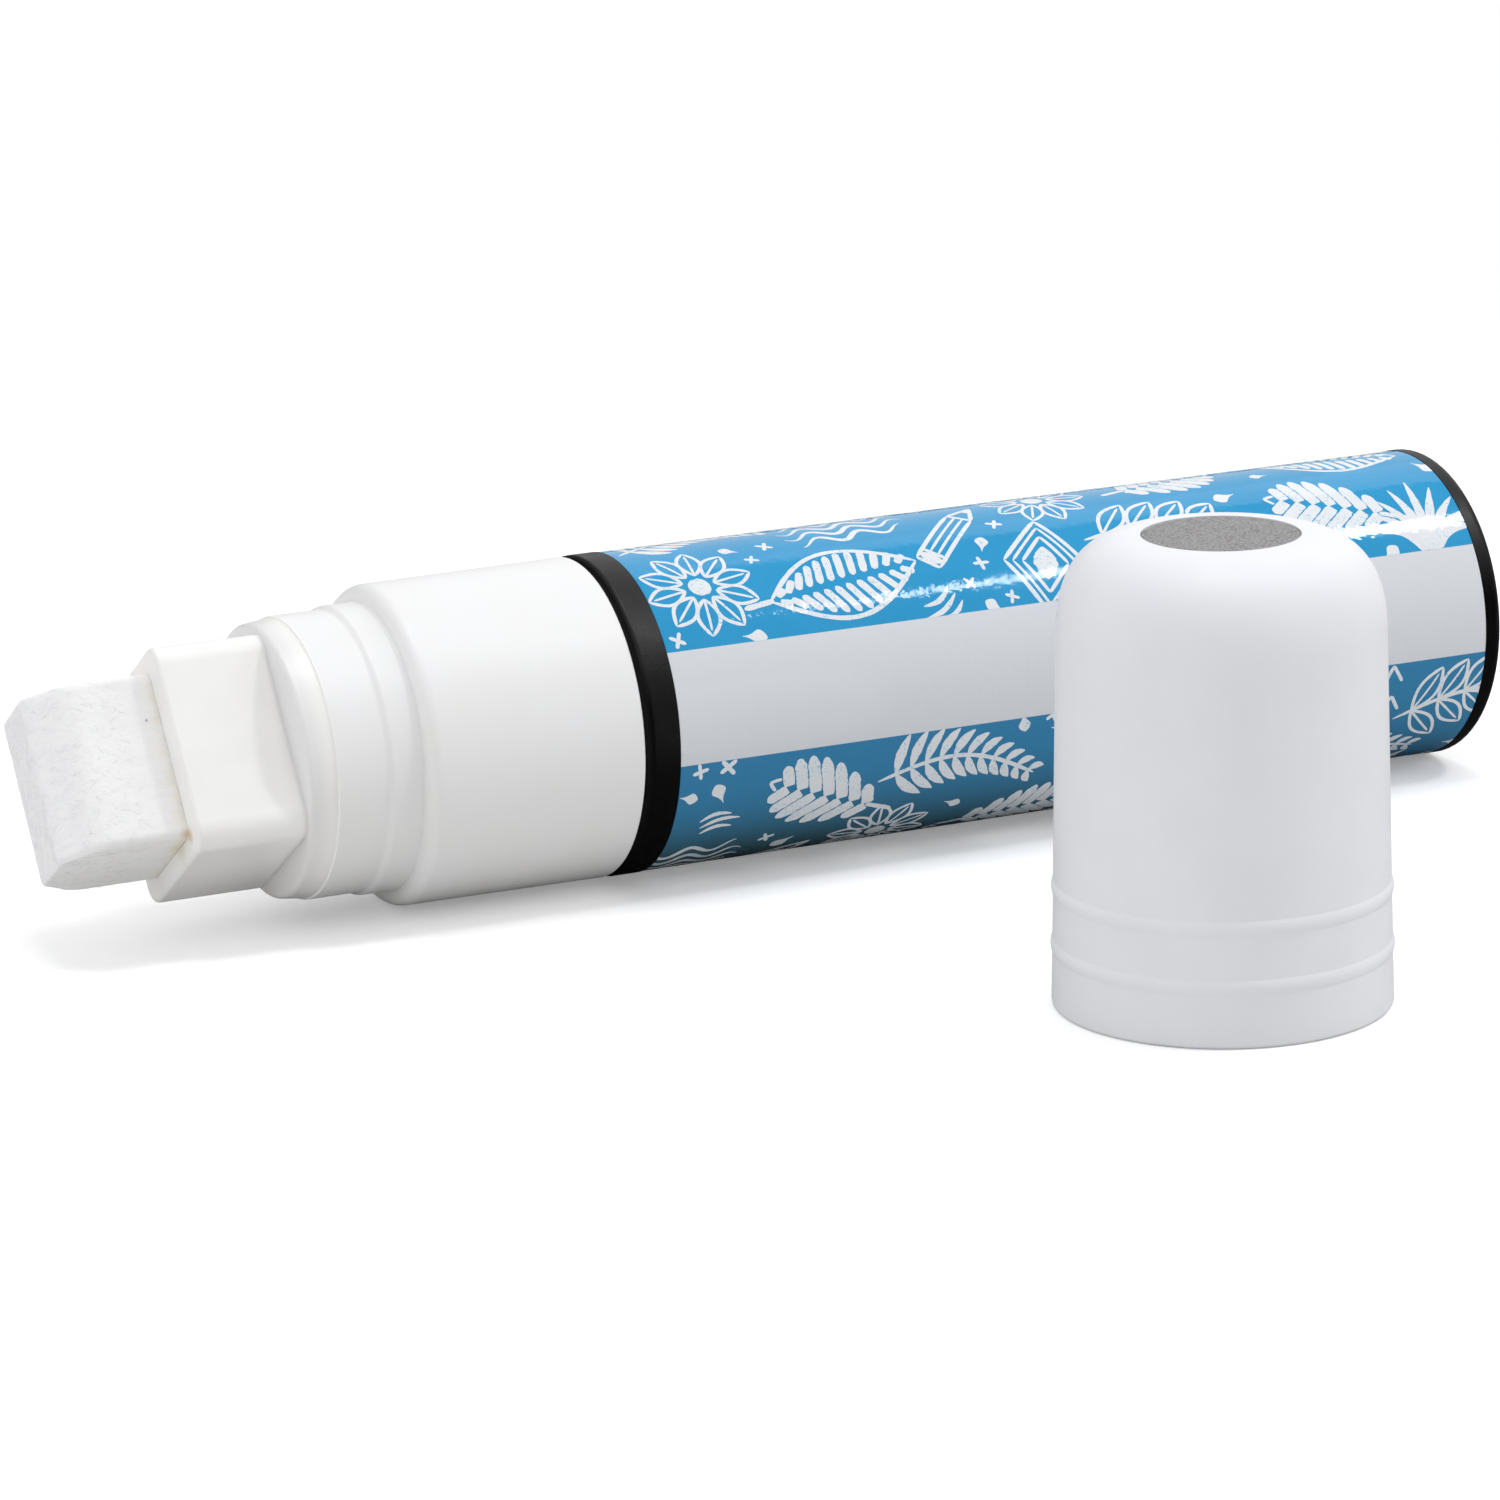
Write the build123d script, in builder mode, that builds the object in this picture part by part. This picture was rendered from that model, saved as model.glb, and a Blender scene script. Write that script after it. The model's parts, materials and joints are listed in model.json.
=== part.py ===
from build123d import *
import math
import os

# A liquid chalk marker with a broad felt nib on a pump valve, lying beside its own cap.
# The marker's axis runs along X with the nib towards -X. The cap stands on its mouth, on the -Y side.
# The origin is on the table, at the middle of the footprint of the pair. Millimetres, +Z up.

# Barrel: a closed bottle with a neck for the grip section
barrel_diameter = 29.0
barrel_length = 87.7
barrel_wall = 1.7
barrel_floor = 1.8
barrel_floor_fillet = 1.5
foot_recess = 0.8
foot_rim_width = 3.0
foot_rim_fillet = 0.4
foot_edge_radius = 0.9
shoulder_wall = 1.6
shoulder_chamfer = 0.8
shoulder_edge_radius = 0.3
barrel_neck_wall = 1.3
barrel_neck_edge_radius = 0.4

# Snap ring that holds the grip section on the barrel's neck
snap_height = 0.35
snap_ramp = 0.6
snap_crest = 0.8
snap_from_shoulder = 4.6

# Printed film in a shallow panel of the barrel, between a land at the foot and one at the shoulder
foot_land = 1.8
front_land = 3.3
label_film = 0.1
label_recess = 0.2
label_glue_line = 0.05
label_end_gap = 0.05

# Grip section: the grip with the neck that the cap pushes onto
grip_length = 20.2
grip_rear_step = 0.05
grip_taper = 0.15
grip_skirt_wall = 1.8
grip_rear_edge_radius = 0.25
grip_shoulder_radius = 1.2
grip_shoulder_width = 1.45
grip_web = 3.9
neck_wall = 1.8
neck_length = 7.95
neck_bead_height = 0.3
neck_bead_length = 3.3
neck_bead_ramp = 0.5
neck_bead_radius = 0.4
neck_edge_radius = 0.15

# Nib holder: a collar on the neck and a flat-sided sleeve round the nib
collar_step = 0.15
collar_taper = 0.3
collar_thickness = 2.45
collar_edge_radius = 0.5
collar_seam_radius = 0.12
holder_side_wall = 1.8
holder_face_wall = 2.4
holder_reach = 10.0
holder_edge_radius = 2.1
holder_lip_radius = 0.4

# Felt nib, a block with a wedge at its tip, turned about the axis as the marker lies
nib_width = 15.0
nib_thickness = 11.4
nib_tip_thickness = 5.9
nib_bevel_length = 3.45
nib_reach = 11.1
nib_edge_radius = 0.9
nib_tip_radius = 0.7
nib_bevel_radius = 2.5
nib_clearance = 0.15
nib_roll = 33.7

# Pump valve behind the nib
press_travel = 2.5
press_margin = 0.45
stop_gap = 0.3
tray_wall = 0.9
tray_depth = 2.2
tray_run_clearance = 0.3
tray_floor = 1.4
tray_corner_radius = 1.6
tray_port_diameter = 2.4
stem_diameter = 3.6
valve_flange = 1.6
valve_flange_radius = 0.2
valve_cup_wall = 1.2
valve_cup_fillet = 0.8
valve_cup_edge_radius = 0.3
seat_hole_diameter = 6.0
seat_lip_height = 0.6
seat_lip_width = 1.2
gasket_thickness = 1.2
gasket_diameter = 9.4
gasket_edge_radius = 0.2
valve_head_diameter = 10.0
valve_head_thickness = 1.6
valve_head_radius = 0.3
guide_pin_diameter = 3.8
guide_pin_length = 3.5
guide_pin_radius = 0.6
barrel_seal_thickness = 1.0

# Return spring of the valve
spring_length = 9.5
spring_diameter = 7.6
spring_wire_diameter = 0.7
spring_turns = 6

# Perforated disc that carries the spring
retainer_thickness = 1.6
retainer_ledge = 0.6
retainer_edge_radius = 0.2
retainer_boss_diameter = 4.6
retainer_boss_height = 1.5
retainer_boss_radius = 0.5
retainer_port_diameter = 3.2
retainer_port_circle = 14.4
retainer_port_count = 6

# Loose ball that stirs the ink
ball_diameter = 8.0
ball_clearance = 0.1

# Cap
cap_height = 39.8
cap_draft = 0.63
cap_dome_height = 8.34
cap_dome_fullness_share = 0.66
cap_top_flat_diameter = 13.7
cap_wall = 1.3
cap_top_wall = 2.2
cap_mouth_radius = 0.35
cap_lead_in = 0.5
cap_grip_clearance = 0.1
cap_bead_height = 1.3
cap_bead_proud = 0.15
cap_lower_bead = 5.15
cap_upper_bead = 10.1
cap_seal_thickness = 1.2
cap_seal_width = 0.95
cap_seal_ledge = 0.2
cap_seal_edge_radius = 0.15
plug_rim_width = 0.3
plug_disc_thickness = 1.2
plug_sink = 0.08
plug_stem_diameter = 8.0
plug_stem_bore = 5.6
plug_barb_width = 0.35
plug_barb_height = 1.0
plug_edge_radius = 0.15

# Where the cap stands beside the marker
cap_from_tip = 82.5
cap_from_axis = 61.8

# Clearance between pieces that fit into each other
fit_clearance = 0.05

# Radii of the marker, from the outside of the barrel and the grip inwards
barrel_radius = barrel_diameter / 2
bore_radius = barrel_radius - barrel_wall
panel_radius = barrel_radius - label_recess
grip_rear_radius = barrel_radius - grip_rear_step
grip_front_radius = grip_rear_radius - grip_taper
skirt_bore_radius = grip_rear_radius - grip_skirt_wall
barrel_neck_radius = skirt_bore_radius - fit_clearance
barrel_neck_bore_radius = barrel_neck_radius - barrel_neck_wall
neck_bead_outer_radius = grip_front_radius - grip_shoulder_width
neck_radius = neck_bead_outer_radius - neck_bead_height
neck_bore_radius = neck_radius - neck_wall
collar_radius = neck_radius - collar_step
collar_front_radius = collar_radius - collar_taper
wire_radius = spring_wire_diameter / 2
ball_radius = ball_diameter / 2

# Stations along the marker's axis, measured from the foot towards the nib
floor_top = foot_recess + barrel_floor
label_length = barrel_length - foot_land - front_land
label_start = foot_land + label_end_gap
label_end = foot_land + label_length - label_end_gap
inner_shoulder = barrel_length - shoulder_wall
shoulder = barrel_length + grip_length
ledge = shoulder - grip_web
flange_rear = ledge - valve_flange
barrel_neck_end = flange_rear - barrel_seal_thickness
collar_seat = shoulder + neck_length
collar_front = collar_seat + collar_thickness
holder_front = collar_front + holder_reach
nib_tip = holder_front + nib_reach
tray_rear = ledge + press_travel + press_margin
nib_tail = tray_rear + tray_floor
tray_front = nib_tail + tray_depth
spigot_rear = tray_front + stop_gap
seat_lip = flange_rear - seat_lip_height
head_front = seat_lip - gasket_thickness
head_rear = head_front - valve_head_thickness
guide_pin_end = head_rear - guide_pin_length
retainer_front = head_rear - spring_length
retainer_rear = retainer_front - retainer_thickness

# Heights and radii of the cap
cap_bore_radius = neck_bead_outer_radius + cap_grip_clearance
cap_mouth_outer_radius = cap_bore_radius + cap_wall
cap_dome_radius = cap_mouth_outer_radius - cap_draft
cap_dome_base = cap_height - cap_dome_height
cap_top_flat_radius = cap_top_flat_diameter / 2
cap_seal_rest = neck_length + collar_thickness
cap_seal_seat = cap_seal_rest + cap_seal_thickness
cap_seal_radius = cap_bore_radius - cap_seal_ledge
cap_ceiling = cap_height - cap_top_wall
plug_radius = cap_top_flat_radius - plug_rim_width
plug_stem_radius = plug_stem_diameter / 2
plug_seat = cap_height - plug_sink - plug_disc_thickness


def cap_wall_radius(height):
    """Outer radius of the drafted cap wall at a height above its mouth."""
    draft = (cap_mouth_outer_radius - cap_dome_radius) / cap_dome_base
    return cap_mouth_outer_radius - draft * height


# Places of the marker and the cap on the table
cap_reach = cap_wall_radius(cap_lower_bead) + cap_bead_proud
pair_depth = barrel_radius + cap_from_axis + cap_reach
axis_y = pair_depth / 2 - barrel_radius
foot_centre = Vector(nib_tip / 2, axis_y, barrel_radius)
cap_centre = Vector(cap_from_tip - nib_tip / 2, axis_y - cap_from_axis, 0)

# Working planes. Turned pieces of the marker are drawn as (station, radius).
# Those of the cap are drawn as (radius, height).
forward = Vector(-1, 0, 0)
marker_axis = Axis(foot_centre, forward)
marker_profile = Plane(origin=foot_centre, x_dir=forward, z_dir=(0, 1, 0))
cap_axis = Axis(cap_centre, (0, 0, 1))
cap_profile = Plane(origin=cap_centre, x_dir=(1, 0, 0), z_dir=(0, -1, 0))
roll = math.radians(nib_roll)
nib_across = Vector(0, math.sin(roll), math.cos(roll))
nib_profile = Plane(origin=foot_centre, x_dir=forward, z_dir=nib_across)


def cross_section(station):
    """Plane square to the marker's axis, with its X across the nib's width."""
    return Plane(origin=foot_centre + forward * station, x_dir=nib_across, z_dir=forward)


def rounded_outline(*corners):
    """Closed outline through corners given as (x, y, corner radius)."""
    points = [(x, y) for x, y, radius in corners]
    FilletPolyline(*points, radius=[radius for x, y, radius in corners], close=True)


# Barrel
snap_start = barrel_length + snap_from_shoulder
snap_top = snap_start + snap_ramp
snap_fall = snap_top + snap_crest
snap_end = snap_fall + snap_ramp
snap_radius = barrel_neck_radius + snap_height
shoulder_cone = bore_radius - barrel_neck_bore_radius

with BuildPart() as barrel:
    with BuildSketch(marker_profile):
        with BuildLine():
            rounded_outline(
                (foot_recess, 0, 0),
                (foot_recess, barrel_radius - foot_rim_width, foot_rim_fillet),
                (0, barrel_radius - foot_rim_width, foot_rim_fillet),
                (0, barrel_radius, foot_edge_radius),
                (foot_land, barrel_radius, 0),
                (foot_land, panel_radius, 0),
                (foot_land + label_length, panel_radius, 0),
                (foot_land + label_length, barrel_radius, 0),
                (barrel_length - shoulder_chamfer, barrel_radius, shoulder_edge_radius),
                (barrel_length, barrel_radius - shoulder_chamfer, 0),
                (barrel_length, barrel_neck_radius, 0),
                (snap_start, barrel_neck_radius, 0),
                (snap_top, snap_radius, 0),
                (snap_fall, snap_radius, 0),
                (snap_end, barrel_neck_radius, 0),
                (barrel_neck_end, barrel_neck_radius, barrel_neck_edge_radius),
                (barrel_neck_end, barrel_neck_bore_radius, 0),
                (inner_shoulder, barrel_neck_bore_radius, barrel_neck_edge_radius),
                (inner_shoulder - shoulder_cone, bore_radius, barrel_neck_edge_radius),
                (floor_top, bore_radius, barrel_floor_fillet),
                (floor_top, 0, 0),
            )
        make_face()
    revolve(axis=marker_axis)

# Printed film round the barrel
label_inner_radius = panel_radius + label_glue_line
label_outer_radius = label_inner_radius + label_film

with BuildPart() as label:
    with BuildSketch(marker_profile):
        with BuildLine():
            rounded_outline(
                (label_start, label_inner_radius, 0),
                (label_start, label_outer_radius, 0),
                (label_end, label_outer_radius, 0),
                (label_end, label_inner_radius, 0),
            )
        make_face()
    revolve(axis=marker_axis)

# Grip section with the cap's neck, snapped over the barrel's neck
groove_radius = snap_radius + fit_clearance

with BuildPart() as grip_section:
    with BuildSketch(marker_profile):
        with BuildLine():
            rounded_outline(
                (barrel_length, skirt_bore_radius, 0),
                (barrel_length, grip_rear_radius, grip_rear_edge_radius),
                (shoulder, grip_front_radius, grip_shoulder_radius),
                (shoulder, neck_bead_outer_radius, neck_edge_radius),
                (shoulder + neck_bead_length - neck_bead_ramp, neck_bead_outer_radius, neck_bead_radius),
                (shoulder + neck_bead_length, neck_radius, neck_bead_radius),
                (collar_seat, neck_radius, collar_seam_radius),
                (collar_seat, neck_bore_radius, 0),
                (ledge, neck_bore_radius, 0),
                (ledge, skirt_bore_radius, 0),
                (snap_end + fit_clearance, skirt_bore_radius, 0),
                (snap_fall + fit_clearance, groove_radius, 0),
                (snap_top - fit_clearance, groove_radius, 0),
                (snap_start - fit_clearance, skirt_bore_radius, 0),
            )
        make_face()
    revolve(axis=marker_axis)

# Nib holder: collar and spigot are turned, the sleeve stands on the collar and the socket runs through both
spigot_radius = neck_bore_radius - fit_clearance
socket_width = nib_width + 2 * nib_clearance
socket_thickness = nib_thickness + 2 * nib_clearance
socket_corner_radius = nib_edge_radius + nib_clearance
holder_width = socket_width + 2 * holder_side_wall
holder_thickness = socket_thickness + 2 * holder_face_wall

with BuildPart() as nib_holder:
    with BuildSketch(marker_profile):
        with BuildLine():
            rounded_outline(
                (spigot_rear, 0, 0),
                (spigot_rear, spigot_radius, neck_edge_radius),
                (collar_seat, spigot_radius, 0),
                (collar_seat, collar_radius, 0),
                (collar_front, collar_front_radius, collar_edge_radius),
                (collar_front, 0, 0),
            )
        make_face()
    revolve(axis=marker_axis)
    with BuildSketch(cross_section(collar_front)):
        RectangleRounded(holder_width, holder_thickness, holder_edge_radius)
    extrude(amount=holder_reach)
    fillet(nib_holder.faces().sort_by(marker_axis)[-1].edges(), radius=holder_lip_radius)
    with BuildSketch(cross_section(spigot_rear)):
        RectangleRounded(socket_width, socket_thickness, socket_corner_radius)
    extrude(amount=holder_front - spigot_rear, mode=Mode.SUBTRACT)

# Felt nib: the side view is drawn and extruded across the width, then its long edges are softened
with BuildPart() as nib:
    with BuildSketch(nib_profile):
        with BuildLine():
            rounded_outline(
                (nib_tail, nib_thickness / 2, 0),
                (nib_tip - nib_bevel_length, nib_thickness / 2, nib_bevel_radius),
                (nib_tip, nib_tip_thickness / 2, nib_tip_radius),
                (nib_tip, -nib_tip_thickness / 2, nib_tip_radius),
                (nib_tip - nib_bevel_length, -nib_thickness / 2, nib_bevel_radius),
                (nib_tail, -nib_thickness / 2, 0),
            )
        make_face()
    extrude(amount=nib_width / 2, both=True)
    tail_edges = nib.faces().sort_by(marker_axis)[0].edges()
    side_faces = nib.faces().filter_by(Axis(foot_centre, nib_across))
    fillet(ShapeList(side_faces.edges() - tail_edges), radius=nib_edge_radius)

# Plunger: tray under the nib's tail, stem through the seat, valve head and spring guide
tray_inner_width = nib_width + 2 * fit_clearance
tray_inner_thickness = nib_thickness + 2 * fit_clearance

with BuildPart() as valve_plunger:
    with BuildSketch(marker_profile):
        with BuildLine():
            rounded_outline(
                (guide_pin_end, 0, 0),
                (guide_pin_end, guide_pin_diameter / 2, guide_pin_radius),
                (head_rear, guide_pin_diameter / 2, 0),
                (head_rear, valve_head_diameter / 2, valve_head_radius),
                (head_front, valve_head_diameter / 2, valve_head_radius),
                (head_front, stem_diameter / 2, 0),
                (tray_rear, stem_diameter / 2, 0),
                (tray_rear, 0, 0),
            )
        make_face()
    revolve(axis=marker_axis)
    with BuildSketch(cross_section(tray_rear)):
        RectangleRounded(
            tray_inner_width + 2 * tray_wall, tray_inner_thickness + 2 * tray_wall, tray_corner_radius
        )
        Circle(neck_bore_radius - tray_run_clearance, mode=Mode.INTERSECT)
    extrude(amount=tray_floor + tray_depth)
    with BuildSketch(cross_section(nib_tail)):
        RectangleRounded(tray_inner_width, tray_inner_thickness, nib_edge_radius + fit_clearance)
    extrude(amount=tray_depth, mode=Mode.SUBTRACT)
    with BuildSketch(cross_section(tray_rear)):
        with GridLocations(nib_width / 2, nib_thickness / 2, 2, 2):
            Circle(tray_port_diameter / 2)
    extrude(amount=tray_floor, mode=Mode.SUBTRACT)

# Gasket on the valve head, closed against the seat's lip at rest
with BuildPart() as valve_gasket:
    with BuildSketch(marker_profile):
        with BuildLine():
            rounded_outline(
                (head_front, stem_diameter / 2 + fit_clearance, 0),
                (head_front, gasket_diameter / 2, gasket_edge_radius),
                (seat_lip, gasket_diameter / 2, gasket_edge_radius),
                (seat_lip, stem_diameter / 2 + fit_clearance, 0),
            )
        make_face()
    revolve(axis=marker_axis)

# Valve body: a flanged cup in the barrel's neck, with the seat in its front wall
valve_cup_radius = barrel_neck_bore_radius - fit_clearance
valve_chamber_radius = valve_cup_radius - valve_cup_wall
seat_hole_radius = seat_hole_diameter / 2
retainer_seat_radius = valve_chamber_radius + retainer_ledge

with BuildPart() as valve_body:
    with BuildSketch(marker_profile):
        with BuildLine():
            rounded_outline(
                (retainer_rear, retainer_seat_radius, 0),
                (retainer_rear, valve_cup_radius, valve_cup_edge_radius),
                (flange_rear, valve_cup_radius, 0),
                (flange_rear, skirt_bore_radius - fit_clearance, valve_flange_radius),
                (ledge, skirt_bore_radius - fit_clearance, valve_flange_radius),
                (ledge, seat_hole_radius, 0),
                (seat_lip, seat_hole_radius, 0),
                (seat_lip, seat_hole_radius + seat_lip_width, 0),
                (flange_rear, seat_hole_radius + seat_lip_width, 0),
                (flange_rear, valve_chamber_radius, valve_cup_fillet),
                (retainer_front, valve_chamber_radius, 0),
                (retainer_front, retainer_seat_radius, 0),
            )
        make_face()
    revolve(axis=marker_axis)

# Flat seal between the barrel's neck and the valve body
with BuildPart() as barrel_seal:
    with BuildSketch(marker_profile):
        with BuildLine():
            rounded_outline(
                (barrel_neck_end, valve_cup_radius + fit_clearance, 0),
                (barrel_neck_end, barrel_neck_radius, 0),
                (flange_rear, barrel_neck_radius, 0),
                (flange_rear, valve_cup_radius + fit_clearance, 0),
            )
        make_face()
    revolve(axis=marker_axis)

# Retainer with ink ports, pressed into the back of the valve body
with BuildPart() as spring_retainer:
    with BuildSketch(marker_profile):
        with BuildLine():
            rounded_outline(
                (retainer_rear, 0, 0),
                (retainer_rear, retainer_seat_radius - fit_clearance, retainer_edge_radius),
                (retainer_front, retainer_seat_radius - fit_clearance, 0),
                (retainer_front, retainer_boss_diameter / 2, 0),
                (retainer_front + retainer_boss_height, retainer_boss_diameter / 2, retainer_boss_radius),
                (retainer_front + retainer_boss_height, 0, 0),
            )
        make_face()
    revolve(axis=marker_axis)
    with BuildSketch(cross_section(retainer_rear)):
        with PolarLocations(retainer_port_circle / 2, retainer_port_count):
            Circle(retainer_port_diameter / 2)
    extrude(amount=retainer_thickness, mode=Mode.SUBTRACT)

# Return spring: a round wire swept along half turns, each of two tangent arcs
coil_radius = (spring_diameter - spring_wire_diameter) / 2
spring_start = retainer_front + wire_radius + fit_clearance
spring_rise = spring_length - 2 * (wire_radius + fit_clearance)
spring_turn = 2 * math.pi * spring_turns
spring_plane = cross_section(spring_start)


def spring_point(share):
    """Point of the wire's centre line, at a share of its whole winding."""
    angle = spring_turn * share
    place = Vector(coil_radius * math.cos(angle), coil_radius * math.sin(angle), spring_rise * share)
    return spring_plane.from_local_coords(place)


def spring_way(share):
    """Direction of the wire at a share of its whole winding."""
    angle = spring_turn * share
    turn = coil_radius * spring_turn
    ahead = Vector(-turn * math.sin(angle), turn * math.cos(angle), spring_rise)
    return (spring_plane.from_local_coords(ahead) - spring_plane.origin).normalized()


def add_biarc(start, start_way, end, end_way):
    """Two tangent arcs from start to end that leave and arrive along the given directions."""
    chord = end - start
    bend = 2 * (1 - start_way.dot(end_way))
    lean = chord.dot(start_way + end_way)
    reach = (math.sqrt(lean * lean + bend * chord.dot(chord)) - lean) / bend
    joint = (start + start_way * reach + end - end_way * reach) / 2
    TangentArc(start, joint, tangent=start_way)
    TangentArc(end, joint, tangent=end_way * -1)


half_turns = 2 * spring_turns
with BuildPart() as valve_spring:
    with BuildLine() as spring_line:
        for index in range(half_turns):
            begin_share = index / half_turns
            end_share = (index + 1) / half_turns
            add_biarc(
                spring_point(begin_share),
                spring_way(begin_share),
                spring_point(end_share),
                spring_way(end_share),
            )
    with BuildSketch(Plane(origin=spring_point(0), z_dir=spring_way(0))):
        Circle(wire_radius)
    sweep(path=spring_line.line)

wire_steps = 24 * spring_turns
wire_points = [spring_point(step / wire_steps) for step in range(wire_steps + 1)]
apart = [
    (wire_points[i] - wire_points[j]).length
    for i in range(wire_steps + 1)
    for j in range(i + wire_steps // spring_turns // 2, wire_steps + 1)
]
print("valve spring, least gap between turns:", round(min(apart) - spring_wire_diameter, 3))

# Loose ball on the bottom of the bore, at the middle of its run
ball_run_start = floor_top + ball_radius
ball_run_end = inner_shoulder - shoulder_cone - ball_radius
ball_drop = bore_radius - ball_radius - ball_clearance
ball_centre = foot_centre + forward * ((ball_run_start + ball_run_end) / 2) - Vector(0, 0, ball_drop)

with BuildPart(Plane(origin=ball_centre)) as mixing_ball:
    Sphere(ball_radius)


# Cap shell: drafted wall with two low ring beads, full dome and a seat for the plug
def bead(height):
    """Low round bead across the cap's outer wall, drawn from its lower to its upper foot."""
    low = height - cap_bead_height / 2
    high = height + cap_bead_height / 2
    crest = (cap_wall_radius(height) + cap_bead_proud, height)
    return ThreePointArc((cap_wall_radius(low), low), crest, (cap_wall_radius(high), high))


def dome(start, end):
    """Full quarter round from an upright wall at start to a level top at end."""
    rise = (start[0], start[1] + cap_dome_fullness_share * (end[1] - start[1]))
    run = (end[0] + cap_dome_fullness_share * (start[0] - end[0]), end[1])
    return Bezier(start, rise, run, end)


plug_hole_radius = plug_stem_radius + fit_clearance
plug_seat_radius = plug_radius + fit_clearance
cavity_low_radius = cap_wall_radius(cap_seal_seat) - cap_wall - cap_seal_ledge
cavity_high = (cap_dome_radius - cap_wall, cap_dome_base)
cavity_top = (cap_top_flat_radius, cap_ceiling)

with BuildPart() as cap_shell:
    with BuildSketch(cap_profile):
        with BuildLine():
            mouth_foot = (cap_mouth_outer_radius - cap_mouth_radius, 0)
            mouth_side = (cap_wall_radius(cap_mouth_radius), cap_mouth_radius)
            TangentArc(mouth_foot, mouth_side, tangent=(1, 0))
            lower_bead = bead(cap_lower_bead)
            upper_bead = bead(cap_upper_bead)
            outer_dome = dome((cap_dome_radius, cap_dome_base), (cap_top_flat_radius, cap_height))
            inner_dome = dome(cavity_high, cavity_top)
            Line(mouth_side, lower_bead @ 0)
            Line(lower_bead @ 1, upper_bead @ 0)
            Line(upper_bead @ 1, outer_dome @ 0)
            Polyline(
                outer_dome @ 1,
                (plug_seat_radius, cap_height),
                (plug_seat_radius, plug_seat),
                (plug_hole_radius, plug_seat),
                (plug_hole_radius, cap_ceiling),
                inner_dome @ 1,
            )
            Polyline(
                inner_dome @ 0,
                (cavity_low_radius, cap_seal_seat),
                (cap_seal_radius, cap_seal_seat),
                (cap_seal_radius, cap_seal_rest),
                (cap_bore_radius, cap_seal_rest),
                (cap_bore_radius, cap_lead_in),
                (cap_bore_radius + cap_lead_in, 0),
                mouth_foot,
            )
        make_face()
    revolve(axis=cap_axis)

# Seal that the holder's collar presses on when the cap is on
cap_seal_outer_radius = cap_seal_radius - fit_clearance
cap_seal_inner_radius = cap_seal_outer_radius - cap_seal_width

with BuildPart() as cap_seal:
    with BuildSketch(cap_profile):
        with BuildLine():
            rounded_outline(
                (cap_seal_inner_radius, cap_seal_rest, cap_seal_edge_radius),
                (cap_seal_outer_radius, cap_seal_rest, cap_seal_edge_radius),
                (cap_seal_outer_radius, cap_seal_seat, cap_seal_edge_radius),
                (cap_seal_inner_radius, cap_seal_seat, cap_seal_edge_radius),
            )
        make_face()
    revolve(axis=cap_axis)

# Plug in the top of the cap, held by a barb under the top wall
plug_top = plug_seat + plug_disc_thickness
plug_barb_radius = plug_stem_radius + plug_barb_width
plug_barb_top = cap_ceiling - fit_clearance
plug_foot = plug_barb_top - plug_barb_height

with BuildPart() as cap_plug:
    with BuildSketch(cap_profile):
        with BuildLine():
            rounded_outline(
                (0, plug_seat, 0),
                (0, plug_top, 0),
                (plug_radius, plug_top, plug_edge_radius),
                (plug_radius, plug_seat, 0),
                (plug_stem_radius, plug_seat, 0),
                (plug_stem_radius, plug_barb_top, 0),
                (plug_barb_radius, plug_barb_top, 0),
                (plug_stem_radius, plug_foot, 0),
                (plug_stem_bore / 2, plug_foot, 0),
                (plug_stem_bore / 2, plug_seat, 0),
            )
        make_face()
    revolve(axis=cap_axis)

# One file for each piece
pieces = {
    "barrel": barrel,
    "label": label,
    "grip_section": grip_section,
    "nib_holder": nib_holder,
    "nib": nib,
    "valve_plunger": valve_plunger,
    "valve_gasket": valve_gasket,
    "valve_body": valve_body,
    "barrel_seal": barrel_seal,
    "spring_retainer": spring_retainer,
    "valve_spring": valve_spring,
    "mixing_ball": mixing_ball,
    "cap_shell": cap_shell,
    "cap_seal": cap_seal,
    "cap_plug": cap_plug,
}
os.makedirs("parts", exist_ok=True)
for piece_name, piece in pieces.items():
    piece.part.label = piece_name
    export_step(piece.part, f"parts/{piece_name}.step")
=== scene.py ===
"""Looks of a liquid chalk marker that lies beside its own cap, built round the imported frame.

Metres, +Z up, in the frame of the CAD model. The marker's axis runs along X with the nib towards -X,
and the cap stands on its mouth on the -Y side. A station is a distance from the marker's foot along
its axis. The figures of the print are drawn in millimetres on the flat film.
"""

from __future__ import annotations

import itertools
import json
import logging
import math
import random
from collections.abc import Callable, Iterator, Sequence
from dataclasses import dataclass, field
from enum import Enum
from typing import Any, Union

import bmesh
import bpy
from mathutils import Matrix, Vector

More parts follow.
